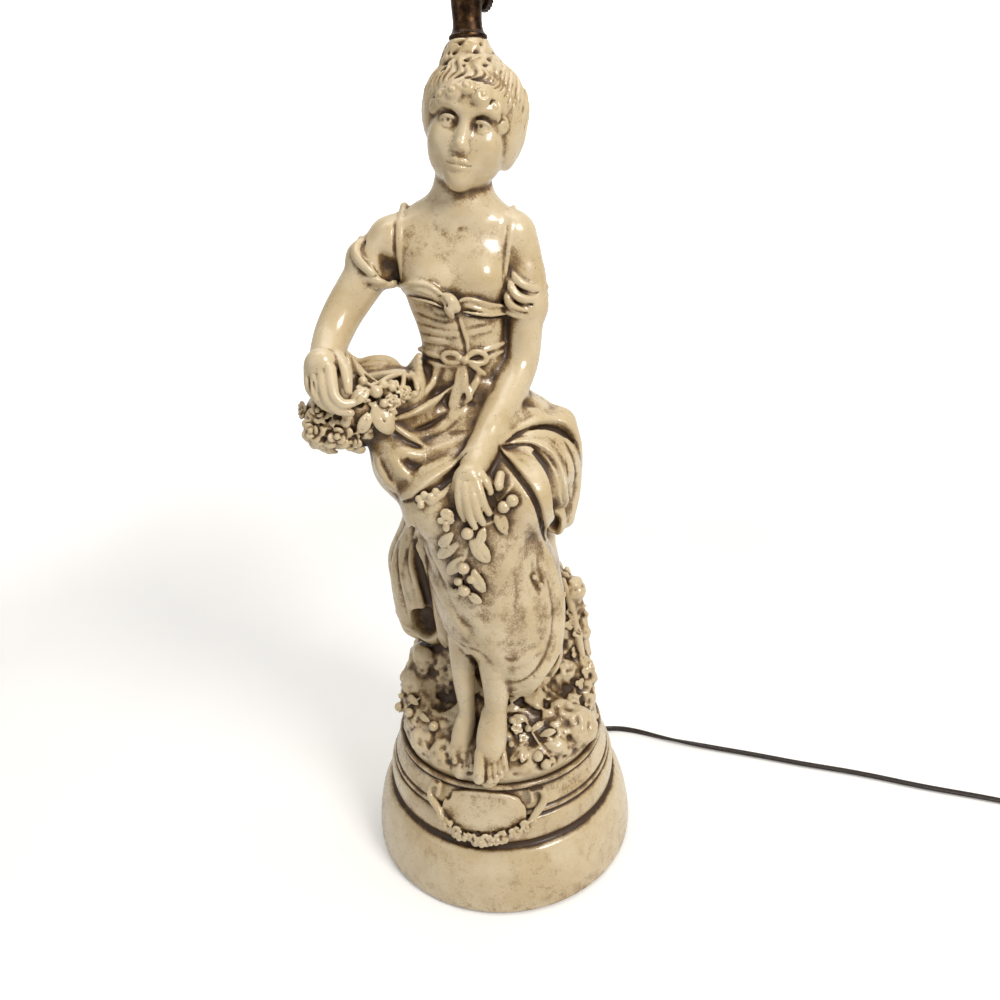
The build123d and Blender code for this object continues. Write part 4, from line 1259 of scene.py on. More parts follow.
for line in ([(511, 281, -21), (516, 291, -23), (526, 294, -22), (538, 293, -15)],
             [(509, 292, -22), (513, 301, -23), (523, 305, -22), (537, 303, -15)],
             [(508, 304, -21), (515, 311, -21.5), (527, 313.5, -19)]):
    roll(line, [0.5, 0.9, 0.9, 0.5][:len(line)], k=0.9, kind="cut")
for x, y in ((543, 279), (546, 287), (546, 295), (545, 303), (543, 310)):
    ball(at_depth(x, y, -3), 2.0, k=1.0)
# Collarbones and the hollow of the throat
fold([(434, 219), (446, 225), (459, 230)], 4.0, 1.0)
fold([(471, 230), (486, 225), (502, 218)], 4.0, 1.0)
fold([(462, 218), (464, 226), (465, 234)], 7.0, -0.7)


# ================================================================ hands
# Viewer's left hand, its fingers curled over the flowers
bone((-105, -47, 424), at_depth(322, 362, -56), 9.6, 8.6, k=6)
egg(at_depth(321, 370, -56), (10, 7, 11), axis_turn("y", -0.35), k=7)
left_fingers = [
    ([(330, 370, -62), (332, 386, -70), (335, 397, -74), (343, 404, -75), (353, 403, -73)],
     [4.4, 4.0, 3.6, 3.3, 2.6]),
    ([(323, 373, -62), (324, 387, -69), (328, 401, -73), (338, 410, -74), (351, 413, -72)],
     [4.4, 3.9, 3.6, 3.2, 2.5]),
    ([(316, 372, -60), (316, 384, -66), (317, 396, -69), (324, 405, -71), (334, 411, -70)],
     [4.0, 3.6, 3.4, 3.0, 2.3]),
    ([(310, 370, -54), (309, 381, -60), (311, 391, -63), (318, 400, -65)], [3.8, 3.4, 3.0, 2.2]),
    ([(337, 356, -50), (344, 368, -58), (347, 380, -64), (348, 391, -67)], [4.6, 4.2, 3.6, 2.8]),
]
for line, radii in left_fingers:
    roll(line, radii, k=1.0)
for line in ([(327, 383, -76), (330, 396, -80), (338, 405, -80)],
             [(320, 384, -73), (321, 396, -78), (327, 405, -78)],
             [(313, 382, -68), (314, 393, -72)]):
    roll(line, [0.8, 1.2, 0.8][:len(line)], k=1.2, kind="cut")

# Viewer's right hand, laid on the lap
bone((-4, -60, 370), at_depth(469, 477, -82), 8.8, 7.6, k=6)
egg(at_depth(468, 484, -84), (9.5, 5.4, 12), axis_turn("y", 0.1), k=7)
right_fingers = [
    ([(476, 482, -89), (480, 494, -92.5), (484, 505, -92.5), (489, 513, -90)], [3.7, 3.3, 3.0, 2.4]),
    ([(471, 486, -90), (474, 501, -94), (478, 514, -94), (483, 523, -91.5)], [3.8, 3.4, 3.0, 2.4]),
    ([(465, 486, -90), (467, 502, -94), (470, 516, -94), (475, 527, -91)], [3.7, 3.3, 3.0, 2.4]),
    ([(459.5, 483, -88), (459, 497, -92), (461, 510, -92), (465, 519, -89.5)], [3.4, 3.0, 2.7, 2.2]),
    ([(480, 474, -84), (486, 483, -88), (490, 492, -88)], [3.6, 3.2, 2.6]),
]
for line, radii in right_fingers:
    roll(line, radii, k=0.9)
# Lines through both hands, which the wash leaves bare
left_hand = [at_depth(*p) for p in ((321, 364, -54), (325, 385, -66), (336, 403, -71))]
right_hand = [at_depth(*p) for p in ((468, 480, -84), (474, 518, -90))]


# ================================================================ apron full of flowers
# The cloth's far rim stands as a wall behind the hollow that the flowers fill.
far_rim = [(341, 348, -4), (350, 358, -6), (360, 363, -8), (371, 360, -9), (383, 359.5, -9),
           (392, 362, -10), (400, 369, -12), (408, 371, -15), (414, 364, -17), (419, 356, -18)]
rim_radii = [2.4, 3.0, 3.4, 3.2, 3.4, 3.2, 3.0, 3.2, 3.0, 2.4]
for down in (0, 6, 12, 18, 24):
    roll([(x, y + down, depth - 0.7 * down) for x, y, depth in far_rim], rim_radii, k=3)
egg(at_depth(374, 384, -42), (32, 12, 8), axis_turn("y", 0.12), k=4, kind="cut")
for line, width, proud in (
    ([(352, 357), (357, 368), (366, 381)], 2.0, 2.2), ([(357, 364), (365, 373), (376, 381)], 1.8, 1.8),
    ([(378, 383), (390, 377), (404, 371)], 2.2, 2.0), ([(404, 371), (404, 384), (401, 397)], 2.2, 2.0),
    ([(411, 372), (415, 382), (418, 393)], 2.0, 2.0), ([(394, 378), (398, 388), (400, 396)], 1.6, 1.4),
    ([(346, 352), (349, 364), (352, 378)], 1.8, 1.6),
):
    ridge(line, width, proud, k=1.6)
for line in ([(362, 366), (372, 374), (380, 381)], [(384, 383), (394, 380), (401, 376)],
             [(408, 374), (409, 386), (407, 398)]):
    crease(line, 2.6, 2.4)
# Petals heaped in it and over the near side, then a few roses, leaves, buds and pits
scatter = np.random.default_rng(11)
bundle_left = -117.0


def strewn(area, count, size, lift):
    """Petals strewn over the surface seen inside an oval of the picture."""
    x0, y0, wide, tall = area
    for _ in range(count):
        a, r = scatter.uniform(0, 2 * math.pi), math.sqrt(scatter.uniform(0, 1))
        c, n = on_surface(x0 + wide * r * math.cos(a), y0 + tall * r * math.sin(a), -lift)
        c[0] = max(c[0], bundle_left)
        side, up, n = basis(n + scatter.normal(0, 0.25, 3) + np.array([0, -0.2, 0.1]))
        b = scatter.uniform(0, 2 * math.pi)
        petal(c, n, side * math.cos(b) + up * math.sin(b), size * scatter.uniform(0.75, 1.2),
              scatter.uniform(5, 40))


strewn((328, 424, 25, 20), 44, 8.2, 1.5)
strewn((384, 396, 28, 12), 34, 4.6, 1.0)
strewn((362, 432, 14, 12), 12, 5.2, 0.8)
for x, y, size, spin in ((337, 433, 9.6, 0.2), (316, 429, 8.4, 1.2), (351, 437, 7.6, 0.7),
                         (321, 413, 7.6, 2.1), (305, 412, 6.4, 0.5), (392, 403, 5.6, 1.0),
                         (404, 397, 5.0, 2.0)):
    rose(x, y, size, lift=1.6, turn=spin)
for x0, y0, x1, y1, width in ((374, 408, 392, 434, 7.0), (367, 414, 360, 430, 4.6),
                              (352, 405, 369, 391, 5.0), (330, 443, 322, 437, 4.0),
                              (326, 443, 336, 447, 4.2), (352, 446, 366, 443, 4.4),
                              (385, 409, 398, 416, 4.0)):
    leaf(x0, y0, x1, y1, width, proud=3.4)
for x, y, size in ((375.5, 394.5, 4.4), (383, 388, 3.4), (392, 390, 3.0), (363, 385, 3.2),
                   (413, 396, 3.0), (383, 404, 3.2), (346, 421, 3.4)):
    bud(x, y, size, lift=2.2)
for x, y in ((372, 399), (381, 399), (367, 390), (341, 425), (360, 404), (327, 420), (397, 397)):
    c, n = on_surface(x, y, -0.5)
    ball(c, 2.6, k=0.8, kind="cut")


# ================================================================ apron cloth over the lap
lap_fold_share, lap_crease_share = 1.35, 1.5
flap([(394, 417), (404, 414), (413, 411), (424, 405), (433, 399), (442, 393), (450, 387)],
     5.5, -3.4, ends=0.5)
for line, width, height in (
    ([(448, 388), (437, 399), (424, 406), (408, 414), (394, 419)], 2.6, 2.2),
    ([(461, 394), (450, 408), (434, 419), (414, 425)], 6.0, 1.8),
    ([(465, 404), (455, 419), (442, 430), (424, 436), (404, 438)], 5.5, 1.8),
    ([(390, 423), (400, 432), (413, 441), (428, 449)], 3.0, 2.8),
    ([(400, 452), (416, 455), (436, 450), (455, 442)], 6.0, 2.0),
    ([(413, 470), (427, 470), (444, 461), (460, 449)], 4.5, 1.6),
    ([(375, 455), (380, 468), (388, 481), (398, 492)], 5.0, 1.8),
    ([(390, 455), (400, 468), (409, 478)], 4.5, 1.4),
    ([(466, 372), (463, 384), (457, 396), (452, 410)], 3.6, 2.2),
    ([(478, 372), (476, 384), (470, 398), (463, 410)], 3.2, 1.6),
    ([(438, 364), (434, 378), (429, 392)], 4.0, 1.2), ([(424, 362), (421, 378), (417, 392)], 4.0, 1.2),
):
    fold(line, width, height * lap_fold_share, ends=0.25)
for line, width, depth in (
    ([(390, 429), (401, 436), (414, 444), (427, 451)], 3.2, 4.2),
    ([(456, 401), (447, 414), (432, 424), (412, 431)], 3.0, 1.8),
    ([(463, 412), (453, 426), (438, 435), (420, 441)], 2.8, 1.7),
    ([(446, 434), (458, 432), (471, 430)], 2.0, 1.8), ([(446, 391), (445, 402), (449, 412)], 2.2, 2.2),
    ([(455, 390), (453, 402), (450, 408)], 1.8, 1.4), ([(470, 378), (466, 391), (459, 404)], 2.2, 1.8),
    ([(481, 380), (475, 394), (468, 406)], 2.0, 1.4), ([(457, 409), (466, 405), (478, 403)], 2.2, 1.8),
    ([(380, 457), (386, 471), (395, 486)], 3.0, 1.8), ([(405, 455), (412, 466), (421, 473)], 3.0, 1.4),
    ([(431, 362), (429, 378), (424, 394)], 2.0, 1.0), ([(416, 366), (414, 380), (410, 394)], 2.0, 1.0),
    ([(445, 366), (440, 378), (436, 390)], 2.0, 1.0), ([(476, 368), (472, 376), (469, 384)], 1.6, 1.4),
    ([(398, 458), (410, 466), (424, 466)], 3.0, 1.6), ([(492, 366), (494, 380), (490, 394)], 2.4, 1.4),
):
    crease(line, width, depth * lap_crease_share)
# Lower hem of the apron, with a dark gap and a ruffle under it
apron_hem = [(405, 500), (413, 498), (424, 490), (436, 481), (449, 472), (460, 463), (467, 455)]
flap(apron_hem, 6.0, 3.6, ends=0.6)
valley([(417, 501), (427, 495), (439, 486), (451, 477), (462, 468)], 3.4, 3.8, k=1.2, ends=0.5)
ridge([(418, 503), (424, 499), (431, 503), (438, 497), (445, 494), (451, 484)], 1.8, 1.9, k=0.8)
for x, y in ((420, 499), (425, 495), (431, 497), (422, 505), (436, 492)):
    bud(x, y, 2.6, lift=0.2)


# ================================================================ overskirt on the viewer's right
# Three layers, each with its own edge over a dark gap
flap([(506, 440), (520, 431), (534, 425), (548, 422), (562, 425), (572, 434), (577, 444)],
     7.0, 3.6, ends=0.7)
valley([(530, 431), (543, 427.5), (556, 428.5), (566, 434), (574, 442)], 3.8, 5.6, k=1.2, ends=0.3)
flap([(505, 446), (517, 444), (530, 444), (543, 450), (553, 460), (559, 474), (562, 492), (562, 512),
      (558, 532)], 6.0, 3.4, ends=0.6)
valley([(534, 450), (543, 457), (550, 468), (554, 484), (555.5, 502), (555, 518), (552.5, 530)],
       6.4, 7.6, k=1.6, ends=0.4)
flap([(501, 452), (510, 461), (521, 474), (531, 487), (539, 502), (543, 518), (544, 538)],
     5.0, 3.0, ends=0.6)
valley([(502, 458), (511, 468), (521, 481), (530, 494), (536.5, 508), (540, 524), (540, 540)],
       1.5, 1.9, k=1.0, ends=0.5)
for line, width, height in (
    ([(516, 446), (530, 448), (541, 456), (549, 468)], 2.2, 1.8),
    ([(520, 455), (533, 466), (543, 482), (549, 502), (549, 524)], 6.0, 2.0),
    ([(520, 437), (536, 432), (552, 434), (564, 442)], 3.0, 1.6),
    ([(550, 440), (564, 454), (571, 474), (571, 496)], 4.5, 2.0),
    ([(567, 440), (575, 456), (579, 476), (577, 500), (571, 522)], 4.0, 1.8),
    ([(525, 395), (537, 401), (549, 411)], 5.0, 1.4), ([(536, 386), (548, 395), (560, 407)], 4.5, 1.4),
    ([(514, 420), (528, 412), (542, 409)], 5.0, 1.4),
):
    fold(line, width, height, ends=0.2)
for line, width, depth in (
    ([(545, 436), (558, 446), (566, 462), (568, 482)], 2.4, 1.8),
    ([(557, 434), (568, 446), (574, 462), (575, 480)], 2.2, 1.6),
    ([(512, 428), (526, 419), (540, 415)], 2.6, 1.6), ([(521, 404), (533, 406), (545, 416)], 2.6, 1.4),
    ([(529, 390), (542, 398), (554, 409)], 2.4, 1.4), ([(514, 440), (524, 436), (536, 436)], 1.8, 1.8),
    ([(562, 494), (566, 506), (566, 520)], 2.4, 1.4), ([(533, 455), (543, 464), (547, 476)], 1.8, 1.2),
):
    crease(line, width, depth)


# ================================================================ front skirt
skirt_hem = [(444, 640), (452, 650), (461, 652), (470, 652), (477, 655), (482, 662), (485, 675),
             (493, 687), (507, 695), (520, 695), (533, 689), (543, 676), (553, 662), (559, 647),
             (562, 625), (561, 600), (556, 575), (548, 555), (543, 545)]
flap(skirt_hem, 6.0, 3.0, ends=0.6)
valley([(x - 3, y + 5) for x, y in skirt_hem[4:9]], 4.0, 5.0, k=1.6, ends=0.5)
valley([(x + 1, y + 7) for x, y in skirt_hem[7:14]], 4.4, 6.0, k=1.6, ends=0.5)
ridge([(543, 546), (551, 562), (558, 585), (561, 609), (559, 632), (553, 653), (543, 671), (530, 686),
       (514, 692)], 2.2, 1.6, k=1.4, ends=0.6)
for line, width, depth in (
    ([(505, 684), (518, 683), (531, 675), (542, 661), (550, 643), (553, 622), (552, 600), (547, 578),
      (540, 560)], 2.2, 1.6),
    ([(437, 612), (445, 627), (455, 641), (467, 647), (479, 650), (489, 659), (495, 674)], 2.0, 1.3),
    ([(414, 520), (424, 545), (436, 570), (448, 592)], 4.5, 2.4),
    ([(447, 590), (453, 608), (463, 622), (476, 630)], 5.0, 1.6),
    ([(536, 556), (541, 572), (543, 588)], 3.0, 2.6), ([(531, 560), (534, 574), (534, 588)], 2.2, 1.6),
    ([(515, 576), (517, 594), (514, 612)], 4.0, 1.2), ([(500, 655), (512, 661), (524, 655)], 3.2, 1.4),
    ([(500, 679), (514, 683), (529, 678)], 2.6, 1.2),
):
    crease(line, width, depth)
for line, width, height in (
    ([(407, 505), (414, 530), (424, 556), (434, 580), (444, 604)], 6.0, 2.2),
    ([(526, 500), (520, 526), (512, 552), (504, 578)], 9.0, 2.4),
    ([(472, 618), (486, 634), (496, 652), (500, 670)], 8.0, 2.0),
    ([(446, 606), (458, 624), (470, 640)], 5.0, 1.4),
    ([(530, 520), (540, 536), (547, 552), (554, 574), (557, 600)], 4.0, 1.6),
    ([(526, 600), (532, 624), (530, 648)], 7.0, 1.6), ([(512, 664), (524, 660), (536, 648)], 4.0, 1.2),
    ([(500, 600), (498, 624), (502, 640)], 8.0, 1.4), ([(470, 480), (468, 500), (462, 520)], 5.0, 1.0),
):
    fold(line, width, height, ends=0.2)
# A worn sprig, pressed in
for line in ([(532, 560), (536, 571), (535, 583), (539, 594)], [(536, 566), (541, 573), (543, 582)],
             [(530, 574), (535, 580), (541, 590)]):
    crease(line, 1.8, 2.6, ends=0.4)
bud(534, 577, 2.0, lift=-0.3)
bud(540, 585, 2.2, lift=-0.3)


# ================================================================ garland on the lap
stem([(487, 470), (493, 488), (500, 506), (497, 520)], r=1.1, proud=1.2)
stem([(497, 520), (486, 524), (474, 536), (466, 552), (463, 572)], r=1.1, proud=1.0)
stem([(500, 500), (508, 492), (512, 484)], r=0.9, proud=1.0)
stem([(463, 572), (466, 586), (470, 596)], r=0.9, proud=0.9)
# Three long buds, then round ones, each with a slit
for a, b, r in (((491, 489), (487, 480), 3.9), ((499, 488), (502, 477), 3.8),
                ((482, 498), (479, 505), 3.2)):
    bone(on_surface(*a, -2.2)[0], on_surface(*b, -2.6)[0], r, r * 0.82, k=0.4)
for x, y, size in ((504, 506, 4.2), (513, 500, 4.2), (468, 532, 4.2), (477, 504, 3.0),
                   (465, 566, 4.2), (466, 588, 4.4), (460, 579, 3.2), (472, 577, 3.2), (459, 590, 2.8)):
    c, n = bud(x, y, size, lift=1.1, k=0.4)
    side, up, n = basis(n)
    top, slit = c + n * size * 0.98, up * size * 0.34
    rope([top + slit, c + n * size * 1.02, top - slit], [0.2, 0.5, 0.2], k=0.4, kind="cut",
         per_span=2)
blossom(446, 522, 6.4, 3, 0.5, lift=0.8)
for x0, y0, x1, y1, width in ((496, 508, 505, 534, 4.6), (472, 538, 489, 562, 5.8),
                              (458, 543, 438, 557, 4.4), (463, 558, 448, 573, 4.6),
                              (452, 533, 440, 545, 4.0), (473, 570, 485, 592, 4.6),
                              (470, 592, 482, 602, 3.8), (458, 596, 451, 585, 3.2),
                              (484, 528, 478, 545, 3.6), (452, 516, 442, 511, 4.0)):
    leaf(x0, y0, x1, y1, width, proud=1.7)


# ================================================================ rear drape on the viewer's left
for line, width, depth in (
    ([(400, 540), (398, 570), (404, 600), (411, 628)], 3.0, 2.4),
    ([(407, 528), (406, 556), (413, 588), (420, 616)], 2.6, 2.0),
    ([(393, 572), (396, 596), (402, 618)], 2.2, 1.4),
):
    crease(line, width, depth)
valley([(413, 528), (413, 546), (419, 570), (428, 600), (433, 628)], 4.2, 5.0, k=2.5)
for line, width, height in (
    ([(404, 516), (396, 548), (394, 580), (398, 606), (404, 627)], 4.5, 2.2),
    ([(408, 524), (403, 552), (402, 580), (409, 610), (417, 631)], 3.6, 2.0),
):
    fold(line, width, height, ends=0.2)
ridge([(396, 612), (404, 624), (414, 630), (426, 632), (435, 631)], 2.0, 1.6, k=2)
egg(at_depth(424, 622, -14), (11, 12, 16), k=4, kind="cut")


# ================================================================ rock, roots and leaves
# Roots at the back, half sunk
for line, r in (
    ([(-30, 50, 180), (-34, 60, 150), (-40, 62, 122)], 5.5),
    ([(8, 58, 184), (10, 66, 150), (6, 70, 122)], 5.5),
    ([(42, 46, 180), (48, 54, 148), (50, 56, 122)], 5.5),
    ([(-70, 26, 168), (-70, 34, 142), (-64, 42, 122)], 5.0),
    ([(70, 30, 180), (70, 34, 150), (64, 42, 122)], 5.0),
):
    rope(line, [r * 0.6, r, r], k=7)
# Hollows in the stump: a deep one on the viewer's left with root lines in it, one between
# the legs, and three small ones on the right
for place, radii, k in (
    ((434, 694, -34), (20, 14, 17), 7), ((472, 682, -62), (12, 20, 20), 2),
    ((547, 688, -44), (9, 10, 6.5), 2), ((573, 689, -30), (8, 10, 6), 2),
    ((560, 664, -34), (9, 9, 5), 2),
):
    egg(at_depth(*place), radii, k=k, kind="cut")
# Boulders by the rim on the right and a ledge on the left, sunk so far that each stands
# proud by so much
boulder_squash = 0.8
for x, y, r, proud in (
    (580, 722, 17, 5.0), (560, 708, 12, 5.5), (537, 702, 9, 5.0), (553, 727, 13, 3.0),
    (588, 694, 10, 4.0), (573, 700, 7, 5.0), (545, 712, 6, 4.5), (566, 672, 9, 3.0),
    (583, 664, 8, 3.0), (424, 738, 14, 4.0), (414, 722, 10, 3.0), (440, 752, 12, 3.0),
    (409, 676, 8, 3.0), (421, 656, 8, 2.5), (440, 664, 7, 2.5),
):
    c, n = on_surface(x, y, r * boulder_squash - proud)
    egg(c, (r, r, r * boulder_squash), np.column_stack(basis(n)), k=5)


def bare_rock(x, y, z):
    """1 on the rock, 0 on the dress above it and by its round foot."""
    out = np.maximum(soft_edge(178 - z, 0, 6), soft_edge(x - 52, 0, 5) * soft_edge(232 - z, 0, 10))
    return out * soft_edge(z, deck_z + 3, deck_z + 14)


roughen(((-100, -100, 104), (100, 20, 236)), ((2.0, 9.0), (1.2, 4.0)), bare_rock)
for line in ([(531, 672), (542, 684), (556, 690), (570, 694)], [(520, 700), (534, 712), (548, 718)],
             [(560, 668), (572, 680), (584, 690)], [(548, 704), (560, 700), (572, 706)],
             [(414, 668), (420, 684), (418, 700)], [(528, 694), (544, 700), (552, 712)],
             [(566, 648), (576, 660), (584, 676)], [(538, 722), (552, 730), (566, 742)]):
    crease(line, 3.6, 3.2)
for line in ([(464, 712), (450, 701), (434, 692), (421, 690)], [(463, 719), (448, 711), (431, 705)],
             [(461, 704), (451, 691), (440, 682)], [(458, 724), (444, 718), (430, 716)],
             [(466, 700), (458, 688), (450, 680)]):
    crease(line, 3.0, 3.4)
    fold([(x, y - 4.5) for x, y in line], 2.6, 1.4)
for line in ([(524, 690), (538, 694), (550, 702)], [(556, 676), (570, 676), (582, 684)],
             [(548, 656), (562, 652), (576, 656)], [(562, 710), (574, 708), (586, 714)]):
    sharp_fold(line, 3.6, 2.6)

# Bark ribs up the stump's right side, with ivy
for x, y in ((66, 0), (70, 10), (72, 20), (66, 30), (58, 36), (44, 42), (28, 48)):
    rope([(x * 0.86, y, 236), (x * 0.95, y - 2, 212), (x * 1.03, y - 6, 186), (x * 1.1, y - 10, 158)],
         [2.2, 3.0, 3.2, 2.6], k=1.6)
ivy = [(563, 596), (570, 603), (574, 613), (571, 624), (579, 632), (583, 643), (577, 652), (586, 660),
       (588, 672), (582, 683), (592, 690), (590, 702), (596, 716)]
ivy_spread = 2.09
for i, (x, y) in enumerate(ivy):
    c, n = on_surface(x - 3, y, -1.2)
    spin = 2.4 * i
    side, up, n = basis(n + np.array([0.4, -0.6, 0.3]))
    for j in range(3):
        a = spin + ivy_spread * j
        out = side * math.cos(a) + up * math.sin(a)
        petal(c + out * 2.4, n, out, 4.0, 14)


# ================================================================ legs and feet
left_leg = [(-26, -56, 222), (-27, -57, 190), (-26, -56, 152), (-27, -57, 128), (-28, -58, 118)]
right_leg = [(-2, -70, 210), (-2, -71, 185), (-4, -73, 160), (-6, -75, 140), (-8, -77, 130)]
rope(left_leg, [11, 8.8, 6.2, 6.4, 7.5], k=3)
rope([(-28, -55, 117), (-31, -66, 115), (-33, -75, 112)], [8, 7.5, 6.2], k=3)
rope(right_leg, [13, 10.4, 7.6, 7.4, 8.6], k=3)
rope([(-8, -72, 124), (-10, -80, 121), (-11, -88, 115)], [9, 8.8, 7.4], k=3)
egg((-3, -73, 150), (5, 6, 16), k=5)
# Ankles
for place, r in (((-11.5, -74, 130), 4.2), ((0.5, -73, 131), 4.0), ((-32, -58, 127), 3.6),
                 ((-23.5, -58, 127), 3.6)):
    ball(place, r, k=4)
rope([at_depth(*p) for p in ((493, 716, -73), (491.5, 736, -77), (490.5, 752, -80))],
     [9.5, 11.5, 11.0], k=4, flat=(0.1, -0.75, 0.65), thin=0.62)
rope([at_depth(*p) for p in ((464, 722, -60), (463, 738, -63), (464, 749, -65))],
     [7.0, 9.5, 9.0], k=4, flat=(0.1, -0.75, 0.65), thin=0.62)
# Toes of the front foot, then of the rear one, with their nails and the gaps between them
for a, b, ra, rb in (
    ((481, 753, -82), (479, 778, -93), 5.0, 4.8), ((488.5, 757, -84), (490, 780.5, -94), 3.0, 3.1),
    ((494, 757, -84), (495.8, 779.5, -94), 2.8, 2.9), ((499, 756, -83), (501, 775.5, -93), 2.6, 2.7),
    ((503.5, 753, -82), (505.5, 768.5, -91), 2.4, 2.5), ((471, 747, -67), (472, 767, -77), 4.0, 3.9),
    ((465.5, 749, -67), (465.8, 769, -77), 2.9, 2.9), ((460.5, 747, -65), (460, 766, -75), 2.7, 2.7),
    ((456, 744, -63), (455, 761, -73), 2.5, 2.5),
):
    roll([a, b], [ra, rb], k=0.7)
    nail = at_depth(b[0], b[1] - 1.5, b[2]) + np.array([0, -rb * 0.70, rb * 0.55])
    egg(nail, (rb * 0.55, rb * 0.35, rb * 0.5), axis_turn("x", 0.5), k=0.3)
for line in ([(485.3, 762, -90), (485.3, 782, -97)], [(491.6, 766, -91), (492.8, 783, -98)],
             [(497, 765, -91), (498.4, 780, -97)], [(501.6, 763, -90), (503.4, 775, -95)],
             [(468.4, 755, -74), (468.6, 771, -81)], [(463, 756, -74), (463, 770, -80)]):
    roll(line, 0.9, k=0.6, kind="cut")

# Berries, buds and small plants on the rock
for x, y, size in ((403, 706, 4.0), (412, 711.5, 3.8), (436.5, 727, 4.0), (404, 695, 2.6),
                   (511, 721, 2.8), (536, 756, 4.2), (543.5, 762, 4.2), (551, 758, 2.6),
                   (528, 728, 2.8), (510, 744, 2.6), (517, 722, 2.6)):
    c, n = bud(x, y, size, lift=1.4, k=0.4)
    ball(c + (n + np.array([0, -0.3, 0.8])) * size * 0.62, size * 0.28, k=0.3)
blossom(516, 729, 5.4, 5, 0.3, lift=1.4)
blossom(523, 738, 4.6, 5, 1.1, lift=1.4)
for x0, y0, x1, y1, width in ((528, 742, 510, 761, 4.6), (545, 744, 564, 750, 3.4),
                              (524, 746, 522, 764, 3.6), (527, 720, 512, 716, 3.4),
                              (541, 736, 557, 732, 3.4), (418, 704, 410, 694, 3.4),
                              (411, 718, 420, 730, 3.4), (430, 722, 420, 712, 3.0),
                              (532, 730, 544, 722, 3.0)):
    leaf(x0, y0, x1, y1, width, proud=1.8)
stem([(523, 715), (530, 729), (536, 739), (542, 748), (549, 756)], r=1.1, proud=1.8)
stem([(400, 712), (410, 704), (420, 698)], r=0.9, proud=1.2)


# ================================================================ from clay to meshes
# Blocks share their cut planes. Each runs a little past the plane, and dips under its
# neighbour there, so the seam can't be seen.
overlap, dip = 0.9, 0.12
block_pad = 9.0


def meet(field, axis_values, axis, bound, sign):
    """Close a block at a cut plane and dip it beyond the plane."""
    shape = [1, 1, 1]
    shape[axis] = -1
    past = (sign * (axis_values - bound)).astype(np.float32).reshape(shape)
    field += dip * soft_edge(past, 0, overlap)
    np.maximum(field, past - overlap, out=field)


def plain_cap(places, faces, axis, plane, step):
    """Swap the many small faces of a flat cut, which its neighbour hides, for one face
    inside each outline."""
    flat = np.abs(places[:, axis] - plane) < 0.35 * step
    kept, edges = [], set()
    for face in faces:
        if all(flat[i] for i in face):
            edges.update(zip(face, face[1:] + face[:1]))
        else:
            kept.append(face)
    follow = {}
    for a, b in sorted(edges):
        if (b, a) not in edges:
            follow.setdefault(a, []).append(b)
    while follow:
        start = min(follow)
        outline, here = [start], follow[start].pop()
        while here != start:
            outline.append(here)
            here = follow[here].pop()
        follow = {a: ends for a, ends in follow.items() if ends}
        kept.append(outline)
    return kept


def used_only(places, faces):
    """Drop the points that no face uses."""
    keep = np.zeros(len(places), bool)
    for face in faces:
        for i in face:
            keep[i] = True
    number = np.cumsum(keep) - 1
    return places[keep], [tuple(int(number[i]) for i in face) for face in faces]


def halved(a):
    """The same field on a grid of twice the step."""
    even = a[:a.shape[0] // 2 * 2, :a.shape[1] // 2 * 2, :a.shape[2] // 2 * 2]
    return sum(even[i::2, j::2, k::2] for i in (0, 1) for j in (0, 1) for k in (0, 1)) / 8


def blurred(a, count):
    for _ in range(count):
        for axis in range(3):
            a = 0.5 * a + 0.25 * (np.roll(a, 1, axis) + np.roll(a, -1, axis))
    return a


def line_distance(places, line):
    """How far places lie from a broken line."""
    line = np.asarray(line, float)
    best = np.full(len(places), 1e9)
    for a, b in zip(line, line[1:]):
        t = np.clip(((places - a) @ (b - a)) / ((b - a) @ (b - a)), 0, 1)
        best = np.minimum(best, np.linalg.norm(places - a - t[:, None] * (b - a), axis=1))
    return best


def stained_and_shaded(places, n):
    """How much old wash is left on cloth and rock, none on the skin, with painted shade where the
    surface faces down, and more wash and painted shade in the heap of flowers.
    """
    z = places[:, 2]
    bare = soft_edge(z, 462, 474)
    for line, near in ((left_arm, 17.0), (right_arm, 15.5), (left_leg, 12.0), (right_leg, 14.0),
                       (left_hand, 10.0), (right_hand, 10.0)):
        bare = np.maximum(bare, 1 - soft_edge(line_distance(places, line), near, near + 4))
    heap = soft_edge(-places[:, 0], 36, 52) * soft_edge(z, 352, 366) * soft_edge(436 - z, 0, 10)
    # Painted shade: more where the surface faces down; the heap of flowers gets more wash and painted
    # shade.
    return (1 - bare) * (0.8 + 0.5 * soft_edge(-n[:, 2], 0.1, 0.9) + 0.8 * heap)


# A coarse map of how shut in each place is: blurred solidity round it.
sky_blurs = 14
sky = worked_clay((-150, -135, 84), (150, 120, 640), 3.0)
sky.f = blurred(sky.solidity(), sky_blurs)


